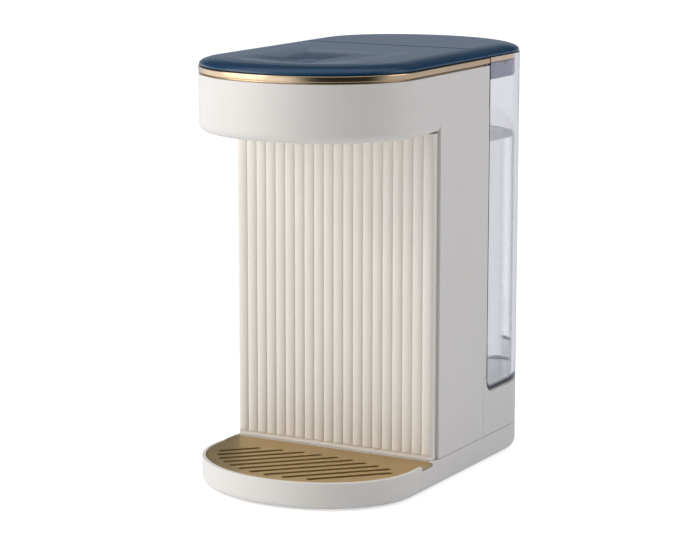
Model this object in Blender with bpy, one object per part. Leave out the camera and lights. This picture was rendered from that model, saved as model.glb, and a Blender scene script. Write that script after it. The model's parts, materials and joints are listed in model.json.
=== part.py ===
"""Instant water warmer: a countertop unit that heats water from a lift-off tank and pours it into a
bay over a slotted drip plate. Metres, +Z up, the front faces -Y, the origin is on the floor below
the middle of the plan. The plan is two straight sides joined by a half ellipse at each end."""

import math

import bpy
import bmesh
from mathutils import Vector

# Overall plan
HALF_WIDTH = 0.066
FRONT_BOW = 0.055
REAR_BOW = 0.053
BAY_DEPTH = 0.085
COLUMN_DEPTH = 0.0619
TANK_DEPTH = 0.0831

# Heights, each one counted up from the one before
FOOT_DROP = 0.001
BASE_HEIGHT = 0.0155
BAY_HEIGHT = 0.1875
HEAD_HEIGHT = 0.0323
SHADOW_GAP = 0.001
BAND_HEIGHT = 0.0034
CAP_THICKNESS = 0.0045

# Shell walls, edges and seams
WALL = 0.0024
BASE_FILLET = 0.004
HEAD_FILLET = 0.005
EDGE_BREAK = 0.0006
CAP_EDGE_WIDTH = 0.010
CAP_INSET = 0.0005
BAND_TONGUE = 0.0012
BAND_TONGUE_DEPTH = 0.004
LID_OVERLAP = 0.0036
SHELL_SETBACK = 0.0006
SHELL_EDGE = 0.0004
BAND_EDGE = 0.0003
CAP_LIP = 0.0008
EAR_HEIGHT = 0.0355
DISH_DEPTH = 0.0013
DISH_RADIUS = 0.040
DISH_INSET = 0.051
DISH_STEPS = 5
DISH_SIDES = 44
LOCATING_DEPTH = 0.006
CHIP_HALF = 0.004
SEAM_BREAK = 0.0004

# Clearances
GAP = 0.0003
SEAM_GAP = 0.0005
SLIDE_GAP = 0.0005
OVERRUN = 0.001

# Base, feet and drip tray
RIM_WIDTH = 0.0022
WELL_FLOOR = 0.0025
COVER_THICKNESS = 0.002
COVER_INSET = 0.0064
FOOT_RADIUS = 0.007
FOOT_RECESS = 0.001
FOOT_SIDE_INSET = 0.018
FOOT_FRONT_INSET = 0.043
FOOT_REAR_INSET = 0.040
BASIN_WALL = 0.0016
BASIN_FLOOR = 0.0015
GRILLE_THICKNESS = 0.0022
GRILLE_SINK = 0.0003
SLOT_WIDTH = 0.0036
SLOT_PITCH = 0.0082
SLOT_SHIFT = 0.0044
SLOT_ANGLE = math.radians(45.0)
SLOT_MARGIN = 0.0085
SLOT_REAR_MARGIN = 0.0158
SLOT_REAR_SAG = 0.011
SLOT_MIN_LENGTH = 0.010
TAB_LENGTH = 0.012
TAB_REAR = 0.0018
TAB_THICKNESS = 0.0018
TAB_SETBACK = 0.0003
GRILLE_EDGE = 0.0004

# Fluted panel
PANEL_STANDOFF = 0.005
PANEL_SHADOW = 0.0012
PANEL_SIDE_INSET = 0.001
RIB_PITCH = 0.0064
RIB_HEIGHT = 0.0011
PLINTH_HEIGHT = 0.0022
RIB_RUN_OUT = 0.0008
RIB_STEPS = 6
PANEL_CORNER = 0.0009

# Chassis and rear wall
CHASSIS_WALL = 0.002
SHELF_HEIGHT = 0.046
SHELF_SIDE_GAP = 0.0073
SHELF_REAR_GAP = 0.0045
REAR_WALL_THICKNESS = 0.0024
HOSE_PORT_RADIUS = 0.0065
HOSE_PASS_RADIUS = 0.0045

# Tank, lid and valve
TANK_LIFT_CLEAR = 0.0003
TANK_WALL = 0.0024
TANK_FLOOR = 0.0026
TANK_CORNER = 0.0075
TANK_EDGE = 0.0012
DOCK_FLOOR = 0.0024
DOCK_HEIGHT = 0.026
SEAT_GAP = 0.0005
LID_GROOVE = 0.0004
LID_WALL = 0.002
SKIRT_DEPTH = 0.0095
SKIRT_THICKNESS = 0.0022
SKIRT_TAPER = 0.0005
VENT_NOTCH = 0.0022
VENT_NOTCH_REAR = 0.023
VALVE_INSET = 0.042
VALVE_NECK_RADIUS = 0.0087
VALVE_BORE_RADIUS = 0.0065
VALVE_FLANGE_RADIUS = 0.012
VALVE_FLANGE_THICKNESS = 0.0015
VALVE_NECK_LENGTH = 0.0058
VALVE_SEAT_RADIUS = 0.0042
VALVE_SEAT_THICKNESS = 0.0015
VALVE_TRAVEL = 0.003
PLUNGER_DISC_RADIUS = 0.0060
PLUNGER_DISC_THICKNESS = 0.0013
PLUNGER_STEM_RADIUS = 0.0016
STEM_RISE = 0.0007
PLUNGER_SEAL_THICKNESS = 0.0010
SPRING_RADIUS = 0.0036
SPRING_WIRE = 0.0005
SPRING_TURNS = 4
SPRING_SIDES = 10
STRAINER_HEIGHT = 0.0105
STRAINER_WALL = 0.0012
STRAINER_SLIT = 0.0014
STRAINER_SLITS = 12
SOCKET_BORE = 0.0106
SOCKET_WALL = 0.0020
SOCKET_FLANGE = 0.0045
SOCKET_FLANGE_THICKNESS = 0.002
SOCKET_DEPTH = 0.013
SOCKET_FLOOR = 0.0018
SPIGOT_RADIUS = 0.0036
SPIGOT_LENGTH = 0.004
SEAL_HEIGHT = 0.0022

# Nozzle
NOZZLE_INSET = 0.043
NOZZLE_PLATE_RADIUS = 0.0220
NOZZLE_PLATE_LIP = 0.005
NOZZLE_PLATE_THICKNESS = 0.0016
NOZZLE_RADIUS = 0.0072
NOZZLE_TIP_RADIUS = 0.0048
NOZZLE_BORE = 0.0026
NOZZLE_DROP = 0.0075
NOZZLE_RISE = 0.008
NOZZLE_FLANGE = 0.0025

# Works inside the column
PUMP_HEIGHT = 0.0165
PUMP_RADIUS = 0.0130
PUMP_HEAD_LENGTH = 0.020
PUMP_MOTOR_RADIUS = 0.0115
PUMP_MOTOR_LENGTH = 0.030
PUMP_PORT_RADIUS = 0.0030
PUMP_PORT_LENGTH = 0.006
PUMP_STUB_RADIUS = 0.004
CRADLE_WALL = 0.0025
CRADLE_LENGTH = 0.020
HEATER_RADIUS = 0.0145
HEATER_WALL = 0.0012
HEATER_LENGTH = 0.092
HEATER_BOARD_GAP = 0.0094
HEATER_RISE = 0.012
HEATER_CAP_FLOOR = 0.004
HEATER_CAP_HEIGHT = 0.010
HEATER_CAP_LIP = 0.0018
HEATER_BAND_HEIGHT = 0.010
HEATER_BAND_WALL = 0.0012
CUTOUT_RADIUS = 0.0055
CUTOUT_HEIGHT = 0.0045
CUTOUT_SPREAD = 0.024
SENSOR_RADIUS = 0.0022
SENSOR_LENGTH = 0.010
HOSE_RADIUS = 0.0026
HOSE_CREST = 0.011
OUTLET_SHARES = (0.9, 0.3)
LEAD_RADIUS = 0.0014
BOARD_THICKNESS = 0.0016
BOARD_WIDTH = 0.050
BOARD_HEIGHT = 0.080
BOARD_STANDOFF = 0.004
BOARD_SIDE_GAP = 0.0053
BOARD_RISE = 0.022
BOARD_PART_DEPTH = 0.014
BOARD_BLOCK_SHARES = (("transformer", (0.08, 0.10), (0.44, 0.30, 1.0)),
                      ("relay", (0.60, 0.12), (0.30, 0.22, 0.9)))
CAPACITOR_SHARE = 0.66
STANDOFF_RADIUS = 0.0028
CONTROL_BOARD_WIDTH = 0.052
CONTROL_BOARD_DEPTH = 0.044
TOUCH_RING_RADIUS = 0.0048
TOUCH_RING_WIDTH = 0.0011
TOUCH_RING_DEPTH = 0.0012
GLAND_RADIUS = 0.0065
GLAND_BORE = 0.0036
GLAND_END = 0.0012
GLAND_FLANGE = 0.0022
GLAND_FLANGE_THICKNESS = 0.0016
GLAND_HEIGHT = 0.0125
GLAND_SETBACK = 0.0006
GLAND_SAG = 0.0006
SCREW_RADIUS = 0.0015
SCREW_HEAD_RADIUS = 0.0029
SCREW_HEAD_HEIGHT = 0.0011
SCREW_SINK = 0.0002
SCREW_SIDE_INSET = 0.010
SCREW_FRONT_INSET = 0.017
SCREW_TAIL_INSET = 0.024
TAIL_SCREW_SHARE = 0.62
SCREW_LENGTH = 0.008
BOSS_RADIUS = 0.0042

# Smoothness of round forms
BOW_STEPS = 20
ROUND_STEPS = 24
SMALL_ROUND_STEPS = 12
FILLET_STEPS = 4
CORNER_STEPS = 4
CROWN_STEPS = 6
SLOT_SAMPLES = 460
SMOOTH_ANGLE = math.radians(32.0)

# Places that follow from the sizes above
BODY_DEPTH = BAY_DEPTH + COLUMN_DEPTH + TANK_DEPTH
FRONT_Y = -BODY_DEPTH / 2
REAR_Y = BODY_DEPTH / 2
FRONT_CENTRE_Y = FRONT_Y + FRONT_BOW
REAR_CENTRE_Y = REAR_Y - REAR_BOW
COLUMN_Y = FRONT_Y + BAY_DEPTH
PANEL_VALLEY_Y = COLUMN_Y - PANEL_STANDOFF
PANEL_CREST_Y = PANEL_VALLEY_Y - RIB_HEIGHT
PANEL_BACK_Y = COLUMN_Y - PANEL_SHADOW
CHASSIS_Y = PANEL_BACK_Y + GAP
TANK_Y = REAR_Y - TANK_DEPTH
SHELL_REAR_Y = TANK_Y - SHELL_SETBACK
SEAM_Y = TANK_Y - LID_OVERLAP
REAR_WALL_Y = SEAM_Y - GAP
REAR_WALL_FRONT_Y = REAR_WALL_Y - REAR_WALL_THICKNESS
WELL_REAR_Y = PANEL_CREST_Y
BASE_Z = FOOT_DROP
RIM_Z = BASE_Z + BASE_HEIGHT
SHELL_BOTTOM_Z = RIM_Z + GAP
HEAD_Z = RIM_Z + BAY_HEIGHT
SHELL_TOP_Z = HEAD_Z + HEAD_HEIGHT
BAND_Z = SHELL_TOP_Z + SHADOW_GAP
BAND_TOP_Z = BAND_Z + BAND_HEIGHT
CAP_Z = BAND_TOP_Z + GAP
CAP_TOP_Z = CAP_Z + CAP_THICKNESS
GRILLE_TOP_Z = RIM_Z - GRILLE_SINK
GRILLE_Z = GRILLE_TOP_Z - GRILLE_THICKNESS
WELL_Z = BASE_Z + WELL_FLOOR
DECK_Z = RIM_Z - WALL
DOCK_TOP_Z = RIM_Z + DOCK_HEIGHT
EAR_Z = RIM_Z + EAR_HEIGHT
TANK_Z = DOCK_TOP_Z + TANK_LIFT_CLEAR
TANK_TOP_Z = CAP_Z - GAP
VALVE_Y = REAR_Y - VALVE_INSET
NOZZLE_Y = FRONT_Y + NOZZLE_INSET
SHELF_Z = RIM_Z + SHELF_HEIGHT
GLAND_Z = RIM_Z + GLAND_HEIGHT
TAB_REAR_Y = WELL_REAR_Y - TAB_REAR
TAB_FRONT_Y = TAB_REAR_Y - TAB_LENGTH
SCREW_FRONT_Y = WELL_REAR_Y + SCREW_FRONT_INSET
SCREW_TAIL_Y = REAR_Y - SCREW_TAIL_INSET
WORKS_Y = (CHASSIS_Y + CHASSIS_WALL + REAR_WALL_FRONT_Y) / 2
PUMP_Z = RIM_Z + PUMP_HEIGHT
HEATER_Z = SHELF_Z + CHASSIS_WALL + HEATER_RISE
HEATER_TOP_Z = HEATER_Z + 2 * (HEATER_CAP_FLOOR + GAP) + HEATER_LENGTH
TOUCH_Y = FRONT_Y + DISH_INSET
SKIRT_Z = BAND_Z - GAP - SKIRT_DEPTH
VALVE_FOOT_Z = TANK_Z - VALVE_NECK_LENGTH
VALVE_FLANGE_Z = TANK_Z + TANK_FLOOR + GAP
PLUNGER_Z = VALVE_FOOT_Z + VALVE_SEAT_THICKNESS + GAP + VALVE_TRAVEL
STEM_Z = VALVE_FOOT_Z - STEM_RISE
STRAINER_Z = VALVE_FLANGE_Z + VALVE_FLANGE_THICKNESS + GAP
INNER_X = HALF_WIDTH - WALL - GAP
BOARD_X = INNER_X - BOARD_SIDE_GAP - BOARD_WIDTH
HEATER_X = BOARD_X - HEATER_BOARD_GAP - HEATER_RADIUS - GAP - HEATER_CAP_LIP
SHELF_X = INNER_X - SHELF_SIDE_GAP
FOOT_X = HALF_WIDTH - FOOT_SIDE_INSET
RIB_COUNT = int(2 * (HALF_WIDTH - PANEL_SIDE_INSET) / RIB_PITCH)


# Shape helpers

def finish(name, colour, roughness, metallic=0.0, alpha=1.0):
    """A Principled material of one colour."""
    material = bpy.data.materials.new(name)
    material.use_nodes = True
    shader = material.node_tree.nodes["Principled BSDF"]
    shader.inputs["Base Color"].default_value = (*colour, 1.0)
    shader.inputs["Roughness"].default_value = roughness
    shader.inputs["Metallic"].default_value = metallic
    shader.inputs["Alpha"].default_value = alpha
    return material


CREAM = ((0.79, 0.77, 0.73), 0.42)
WARM_CREAM = ((0.78, 0.74, 0.67), 0.42)
GOLD = ((0.72, 0.56, 0.33), 0.30, 1.0)
BRASS_GOLD = ((0.56, 0.43, 0.22), 0.38, 1.0)
NAVY = ((0.035, 0.10, 0.18), 0.45)
SEAL_GREY = ((0.27, 0.28, 0.36), 0.55)
CLEAR = ((0.80, 0.84, 0.86), 0.06, 0.0, 0.35)
WHITE_PLASTIC = ((0.62, 0.62, 0.60), 0.50)
DARK_PLASTIC = ((0.05, 0.05, 0.055), 0.50)
SILICONE = ((0.66, 0.66, 0.64), 0.55)
RUBBER = ((0.03, 0.03, 0.03), 0.75)
STEEL = ((0.55, 0.55, 0.55), 0.28, 1.0)
BOARD_GREEN = ((0.03, 0.16, 0.09), 0.50)


def add_mesh(name, points, faces, look):
    """A new object from points and faces, its faces turned outwards and its round parts smooth."""
    mesh = bpy.data.meshes.new(name)
    mesh.from_pydata([tuple(p) for p in points], [], faces)
    shape = bmesh.new()
    shape.from_mesh(mesh)
    bmesh.ops.recalc_face_normals(shape, faces=shape.faces)
    shape.to_mesh(mesh)
    shape.free()
    thing = bpy.data.objects.new(name, mesh)
    bpy.context.scene.collection.objects.link(thing)
    mesh.materials.append(finish(name + "_finish", *look))
    mesh.shade_smooth()
    mesh.set_sharp_from_angle(angle=SMOOTH_ANGLE)
    return thing


def loft(name, loops, look, closed=False):
    """Skin a list of equal loops. A closed loft is a ring, an open one has its two ends filled."""
    count = len(loops[0])
    points = [p for loop in loops for p in loop]
    faces = []
    spans = len(loops) if closed else len(loops) - 1
    for i in range(spans):
        low = i * count
        high = ((i + 1) % len(loops)) * count
        for j in range(count):
            k = (j + 1) % count
            faces.append((low + j, low + k, high + k, high + j))
    if not closed:
        faces.append(tuple(range(count)))
        faces.append(tuple(range(len(points) - count, len(points))))
    return add_mesh(name, points, faces, look)


def plan(inset, y_low=None, y_high=None):
    """The body's plan moved in by inset. A given y_low or y_high cuts it square there instead of
    ending it in its half ellipse."""
    half = HALF_WIDTH - inset
    points = []
    if y_low is None:
        depth = FRONT_BOW - inset
        for i in range(BOW_STEPS + 1):
            angle = math.pi + math.pi * i / BOW_STEPS
            points.append((half * math.cos(angle), FRONT_CENTRE_Y + depth * math.sin(angle)))
    else:
        points += [(-half, y_low), (half, y_low)]
    if y_high is None:
        depth = REAR_BOW - inset
        for i in range(BOW_STEPS + 1):
            angle = math.pi * i / BOW_STEPS
            points.append((half * math.cos(angle), REAR_CENTRE_Y + depth * math.sin(angle)))
    else:
        points += [(half, y_high), (-half, y_high)]
    return points


def plan_solid(name, layers, look, y_low=None, y_high=None):
    """A solid on the body's plan. Each layer, from the bottom up, is an inset, a height and, where
    it has one, how far its square end steps back."""
    loops = []
    for inset, z, *step in layers:
        back = step[0] if step else 0.0
        low = None if y_low is None else y_low + back
        high = None if y_high is None else y_high - back
        loops.append([(x, y, z) for x, y in plan(inset, low, high)])
    return loft(name, loops, look)


def plan_ring(name, profile, look, y_low=None, y_high=None, low_wall=0.0, high_wall=0.0):
    """A ring on the body's plan. The profile is a closed list of insets and heights. The walls say
    how far the square ends move in for each unit of inset."""
    first = profile[0][0]
    loops = []
    for inset, z in profile:
        low = None if y_low is None else y_low + low_wall * (inset - first)
        high = None if y_high is None else y_high - high_wall * (inset - first)
        loops.append([(x, y, z) for x, y in plan(inset, low, high)])
    return loft(name, loops, look, closed=True)


def fillet(radius, inset, z, direction, steps=FILLET_STEPS):
    """Layers of a rounded edge: direction 1 opens upwards from a bottom face, -1 closes to a top."""
    layers = []
    for i in range(steps + 1):
        angle = math.pi / 2 * i / steps
        step_in = radius * (1 - math.sin(angle))
        step_up = radius * (1 - math.cos(angle))
        layers.append((inset + step_in, z + direction * step_up))
    return layers if direction > 0 else layers[::-1]


def box(name, low, high, look=CREAM):
    """A plain block between two corners."""
    (x0, y0, z0), (x1, y1, z1) = low, high
    loops = [[(x0, y0, z), (x1, y0, z), (x1, y1, z), (x0, y1, z)] for z in (z0, z1)]
    return loft(name, loops, look)


def circle(radius, steps, x=0.0, y=0.0):
    """Points round a circle, anticlockwise from +X."""
    turns = [2 * math.pi * i / steps for i in range(steps)]
    return [(x + radius * math.cos(t), y + radius * math.sin(t)) for t in turns]


def turned(name, profile, centre, look=CREAM, steps=ROUND_STEPS, axis="Z"):
    """Revolve a closed profile of radii and distances along the axis. A profile that starts and
    ends at radius zero is a solid, and any other is a ring."""
    solid = profile[0][0] == 0.0
    rows = profile[1:-1] if solid else profile
    loops = []
    for radius, along in rows:
        loops.append([place_round(x, y, along, centre, axis) for x, y in circle(radius, steps)])
    return loft(name, loops, look, closed=not solid)


def place_round(x, y, along, centre, axis):
    """A point of a turned piece, its own axis laid along X, Y or Z."""
    if axis == "X":
        offset = Vector((along, x, y))
    elif axis == "Y":
        offset = Vector((x, along, y))
    else:
        offset = Vector((x, y, along))
    return Vector(centre) + offset


def rod(name, radius, low, high, centre, look=CREAM, steps=SMALL_ROUND_STEPS, axis="Z"):
    """A plain cylinder from low to high along its axis."""
    profile = [(0.0, low), (radius, low), (radius, high), (0.0, high)]
    return turned(name, profile, centre, look, steps, axis)


def capsule(length, width, x, y, angle, steps=4):
    """The outline of a slot with round ends, turned by angle about its middle."""
    reach = (length - width) / 2
    points = []
    for end in (1, -1):
        for i in range(steps + 1):
            turn = angle - math.pi / 2 + math.pi * i / steps + (0.0 if end > 0 else math.pi)
            px = x + end * reach * math.cos(angle) + width / 2 * math.cos(turn)
            py = y + end * reach * math.sin(angle) + width / 2 * math.sin(turn)
            points.append((px, py))
    return points


def prism(name, outline, low, high, look=CREAM, axis="Z"):
    """Extrude an outline. Along X the outline is (y, z), along Y it is (x, z)."""
    loops = []
    for level in (low, high):
        if axis == "X":
            loops.append([(level, a, b) for a, b in outline])
        elif axis == "Y":
            loops.append([(a, level, b) for a, b in outline])
        else:
            loops.append([(a, b, level) for a, b in outline])
    return loft(name, loops, look)


def bake(thing):
    """Keep what the modifiers make, and drop them."""
    bpy.context.view_layer.update()
    graph = bpy.context.evaluated_depsgraph_get()
    made = bpy.data.meshes.new_from_object(thing.evaluated_get(graph))
    old = thing.data
    thing.modifiers.clear()
    thing.data = made
    bpy.data.meshes.remove(old)
    made.name = thing.name
    made.set_sharp_from_angle(angle=SMOOTH_ANGLE)


def combine(thing, tools, operation):
    """Cut, join or intersect a piece with its tools, which are used up."""
    for tool in tools:
        tool.hide_render = True
        tool.display_type = "WIRE"
        step = thing.modifiers.new(tool.name, "BOOLEAN")
        step.operation = operation
        step.solver = "EXACT"
        step.object = tool
    bake(thing)
    for tool in tools:
        bpy.data.objects.remove(tool)
    while len(thing.data.materials) > 1:
        thing.data.materials.pop()
    for face in thing.data.polygons:
        face.material_index = 0
    return thing


def cut(thing, *tools):
    """Take the tools out of a piece."""
    return combine(thing, tools, "DIFFERENCE")


def join(thing, *tools):
    """Fuse the tools with a piece."""
    return combine(thing, tools, "UNION")


def group(name, pieces):
    """Put separate like cutters in one object, such as a set of slots."""
    first = pieces[0]
    shape = bmesh.new()
    for piece in pieces:
        shape.from_mesh(piece.data)
    shape.to_mesh(first.data)
    shape.free()
    for piece in pieces[1:]:
        bpy.data.objects.remove(piece)
    first.name = name
    first.data.name = name
    return first


def tube(name, route, radius, look, sides=2, smooth=True):
    """A round hose, lead or wire. A smooth one follows a curve through the route's points."""
    points = [Vector(p) for p in route]
    if smooth:
        points = smooth_route(points, 4 * radius)
    curve = bpy.data.curves.new(name, "CURVE")
    curve.dimensions = "3D"
    curve.bevel_depth = radius
    curve.bevel_resolution = sides
    curve.use_fill_caps = True
    spline = curve.splines.new("POLY")
    spline.points.add(len(points) - 1)
    for point, place in zip(spline.points, points):
        point.co = (*place, 1.0)
    thing = bpy.data.objects.new(name, curve)
    bpy.context.scene.collection.objects.link(thing)
    curve.materials.append(finish(name + "_finish", *look))
    return thing


def smooth_route(points, spacing):
    """Points about a spacing apart on a Catmull-Rom curve through the given ones."""
    ends = [2 * points[0] - points[1]] + points + [2 * points[-1] - points[-2]]
    result = []
    for a, b, c, d in zip(ends, ends[1:], ends[2:], ends[3:]):
        steps = max(1, round((c - b).length / spacing))
        for i in range(steps):
            t = i / steps
            result.append(catmull_rom(a, b, c, d, t))
    return result + [points[-1]]


def catmull_rom(a, b, c, d, t):
    """The point at share t of the span from b to c."""
    straight = 2 * b + (c - a) * t
    bend = (2 * a - 5 * b + 4 * c - d) * t ** 2
    twist = (3 * b - a - 3 * c + d) * t ** 3
    return (straight + bend + twist) / 2


def mount_on(name, point, pieces):
    """Hang pieces on an empty that stands on their joint's axis, without moving them."""
    frame = bpy.data.objects.new(name, None)
    frame.location = point
    bpy.context.scene.collection.objects.link(frame)
    bpy.context.view_layer.update()
    for piece in pieces:
        piece.parent = frame
        piece.matrix_parent_inverse = frame.matrix_world.inverted()
    return frame


# Base, feet and drip tray

def foot_places():
    """The middles of the four feet: the front pair is in the base, the rear pair in its cover."""
    rows = (FRONT_Y + FOOT_FRONT_INSET, REAR_Y - FOOT_REAR_INSET)
    return [(side * FOOT_X, y) for y in rows for side in (-1, 1)]


def foot_recesses(places):
    """Cutters for the shallow round seats of the feet."""
    top = BASE_Z + FOOT_RECESS + GAP
    return [rod("foot_seat", FOOT_RADIUS + GAP, BASE_Z - OVERRUN, top, (x, y, 0.0))
            for x, y in places]


def screw_places():
    """The four screws that hold the bottom cover, two on the straight sides, two under the tail."""
    side = HALF_WIDTH - COVER_INSET - SCREW_SIDE_INSET
    tail = side * TAIL_SCREW_SHARE
    return [(sign * x, y) for x, y in ((side, SCREW_FRONT_Y), (tail, SCREW_TAIL_Y))
            for sign in (-1, 1)]


def make_base():
    """The cream base: a filleted ring with a well for the drip basin in front, open from top to
    bottom behind it, and a notch in each rim for the grille's tabs."""
    layers = fillet(BASE_FILLET, 0.0, BASE_Z, 1) + fillet(EDGE_BREAK, 0.0, RIM_Z, -1, 2)
    base = plan_solid("base_shell", layers, CREAM)
    well = plan_solid("well", [(RIM_WIDTH, WELL_Z), (RIM_WIDTH, RIM_Z + OVERRUN)], CREAM,
                      y_high=WELL_REAR_Y)
    through = plan_solid("through", [(COVER_INSET, BASE_Z - OVERRUN), (COVER_INSET, RIM_Z + OVERRUN)],
                         CREAM, y_low=WELL_REAR_Y + WALL)
    tools = foot_recesses(foot_places()[:2])
    for side in (-1, 1):
        inner = side * (HALF_WIDTH - RIM_WIDTH - OVERRUN)
        outer = side * (HALF_WIDTH + OVERRUN)
        low = GRILLE_TOP_Z - TAB_THICKNESS - GAP
        tools.append(box("notch", (min(inner, outer), TAB_FRONT_Y - GAP, low),
                         (max(inner, outer), TAB_REAR_Y + GAP, RIM_Z + OVERRUN)))
    return cut(base, well, through, *tools)


def make_base_deck():
    """The deck that closes the base from above, under the column and the tank's dock, with a boss
    down to the cover for each screw."""
    inset = COVER_INSET + GAP
    deck = plan_solid("base_deck", [(inset, DECK_Z), (inset, RIM_Z)], WHITE_PLASTIC,
                      y_low=WELL_REAR_Y + WALL + GAP)
    bosses = []
    pilots = []
    for x, y in screw_places():
        low = BASE_Z + COVER_THICKNESS + GAP
        bosses.append(rod("boss", BOSS_RADIUS, low, DECK_Z + OVERRUN, (x, y, 0.0)))
        pilots.append(rod("pilot", SCREW_RADIUS + GAP, BASE_Z, DECK_Z - OVERRUN, (x, y, 0.0)))
    join(deck, *bosses)
    return cut(deck, *pilots)


def make_bottom_cover():
    """The plate that closes the base from below, with counterbored screw holes."""
    top = BASE_Z + COVER_THICKNESS
    inset = COVER_INSET + GAP
    cover = plan_solid("bottom_cover", [(inset, BASE_Z), (inset, top)], DARK_PLASTIC,
                       y_low=WELL_REAR_Y + WALL + GAP)
    tools = foot_recesses(foot_places()[2:])
    for x, y in screw_places():
        seat = BASE_Z + SCREW_SINK + SCREW_HEAD_HEIGHT + GAP
        tools.append(rod("head_seat", SCREW_HEAD_RADIUS + GAP, BASE_Z - OVERRUN, seat, (x, y, 0.0)))
        tools.append(rod("shank_hole", SCREW_RADIUS + GAP, BASE_Z, top + OVERRUN, (x, y, 0.0)))
    return cut(cover, *tools)


def make_feet():
    """Four rubber pads, chamfered where they meet the surface, each in its recess."""
    top = BASE_Z + FOOT_RECESS
    for number, (x, y) in enumerate(foot_places(), 1):
        profile = [(0.0, 0.0), (FOOT_RADIUS - EDGE_BREAK, 0.0), (FOOT_RADIUS, EDGE_BREAK),
                   (FOOT_RADIUS, top), (0.0, top)]
        turned(f"foot_{number}", profile, (x, y, 0.0), RUBBER, SMALL_ROUND_STEPS)


def make_base_screws():
    """The screws of the bottom cover, a flat head and a shank each, up into the base's bosses."""
    low = BASE_Z + SCREW_SINK
    neck = low + SCREW_HEAD_HEIGHT
    for number, (x, y) in enumerate(screw_places(), 1):
        profile = [(0.0, low), (SCREW_HEAD_RADIUS, low), (SCREW_HEAD_RADIUS, neck),
                   (SCREW_RADIUS, neck), (SCREW_RADIUS, low + SCREW_LENGTH),
                   (0.0, low + SCREW_LENGTH)]
        turned(f"base_screw_{number}", profile, (x, y, 0.0), STEEL, SMALL_ROUND_STEPS)


def make_basin():
    """The lift-out drip basin, an open tray that fills the well."""
    inset = RIM_WIDTH + SLIDE_GAP
    low = WELL_Z + GAP
    high = GRILLE_Z - GAP
    rear = WELL_REAR_Y - SLIDE_GAP
    basin = plan_solid("drip_basin", [(inset, low), (inset, high)], WHITE_PLASTIC, y_high=rear)
    inner = inset + BASIN_WALL
    hollow = plan_solid("hollow", [(inner, low + BASIN_FLOOR), (inner, high + OVERRUN)], CREAM,
                        y_high=rear - BASIN_WALL)
    return cut(basin, hollow)


def slot_span(offset):
    """Where a slanted line, offset from the front bow's centre, runs inside the slotted field."""
    half = HALF_WIDTH - SLOT_MARGIN
    bow = FRONT_BOW - SLOT_MARGIN
    rear = WELL_REAR_Y - FRONT_CENTRE_Y - SLOT_REAR_MARGIN
    inside = []
    for i in range(-SLOT_SAMPLES, SLOT_SAMPLES + 1):
        along = BODY_DEPTH * i / SLOT_SAMPLES / 2
        x = offset * math.sin(SLOT_ANGLE) + along * math.cos(SLOT_ANGLE)
        y = along * math.sin(SLOT_ANGLE) - offset * math.cos(SLOT_ANGLE)
        bowed = (x / half) ** 2 + (min(y, 0.0) / bow) ** 2 <= 1.0
        if bowed and y <= rear - SLOT_REAR_SAG * (x / half) ** 2:
            inside.append(along)
    return (inside[0], inside[-1]) if inside else (0.0, 0.0)


def make_grille():
    """The gold drip plate: slanted round-ended slots inside a plain border, and two lift tabs that
    lie in the rim's notches."""
    inset = RIM_WIDTH + SLIDE_GAP
    rear = WELL_REAR_Y - SLIDE_GAP
    layers = [(inset, GRILLE_Z)] + fillet(GRILLE_EDGE, inset, GRILLE_TOP_Z, -1, 2)
    grille = plan_solid("drip_grille", layers, BRASS_GOLD, y_high=rear)
    tabs = []
    for side in (-1, 1):
        inner = side * (HALF_WIDTH - RIM_WIDTH - BASIN_WALL - GRILLE_EDGE)
        outer = side * (HALF_WIDTH - TAB_SETBACK)
        tabs.append(box("tab", (min(inner, outer), TAB_FRONT_Y, GRILLE_TOP_Z - TAB_THICKNESS),
                        (max(inner, outer), TAB_REAR_Y, GRILLE_TOP_Z)))
    join(grille, *tabs)
    slots = []
    reach = math.ceil(HALF_WIDTH / SLOT_PITCH) + 1
    for i in range(-reach, reach + 1):
        offset = SLOT_SHIFT + i * SLOT_PITCH
        start, end = slot_span(offset)
        if end - start < SLOT_MIN_LENGTH:
            continue
        along = (start + end) / 2
        x = offset * math.sin(SLOT_ANGLE) + along * math.cos(SLOT_ANGLE)
        y = FRONT_CENTRE_Y + along * math.sin(SLOT_ANGLE) - offset * math.cos(SLOT_ANGLE)
        outline = capsule(end - start, SLOT_WIDTH, x, y, SLOT_ANGLE)
        slots.append(prism("slot", outline, GRILLE_Z - OVERRUN, GRILLE_TOP_Z + OVERRUN))
    return cut(grille, group("slots", slots))


# Head, column and rear shell

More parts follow.
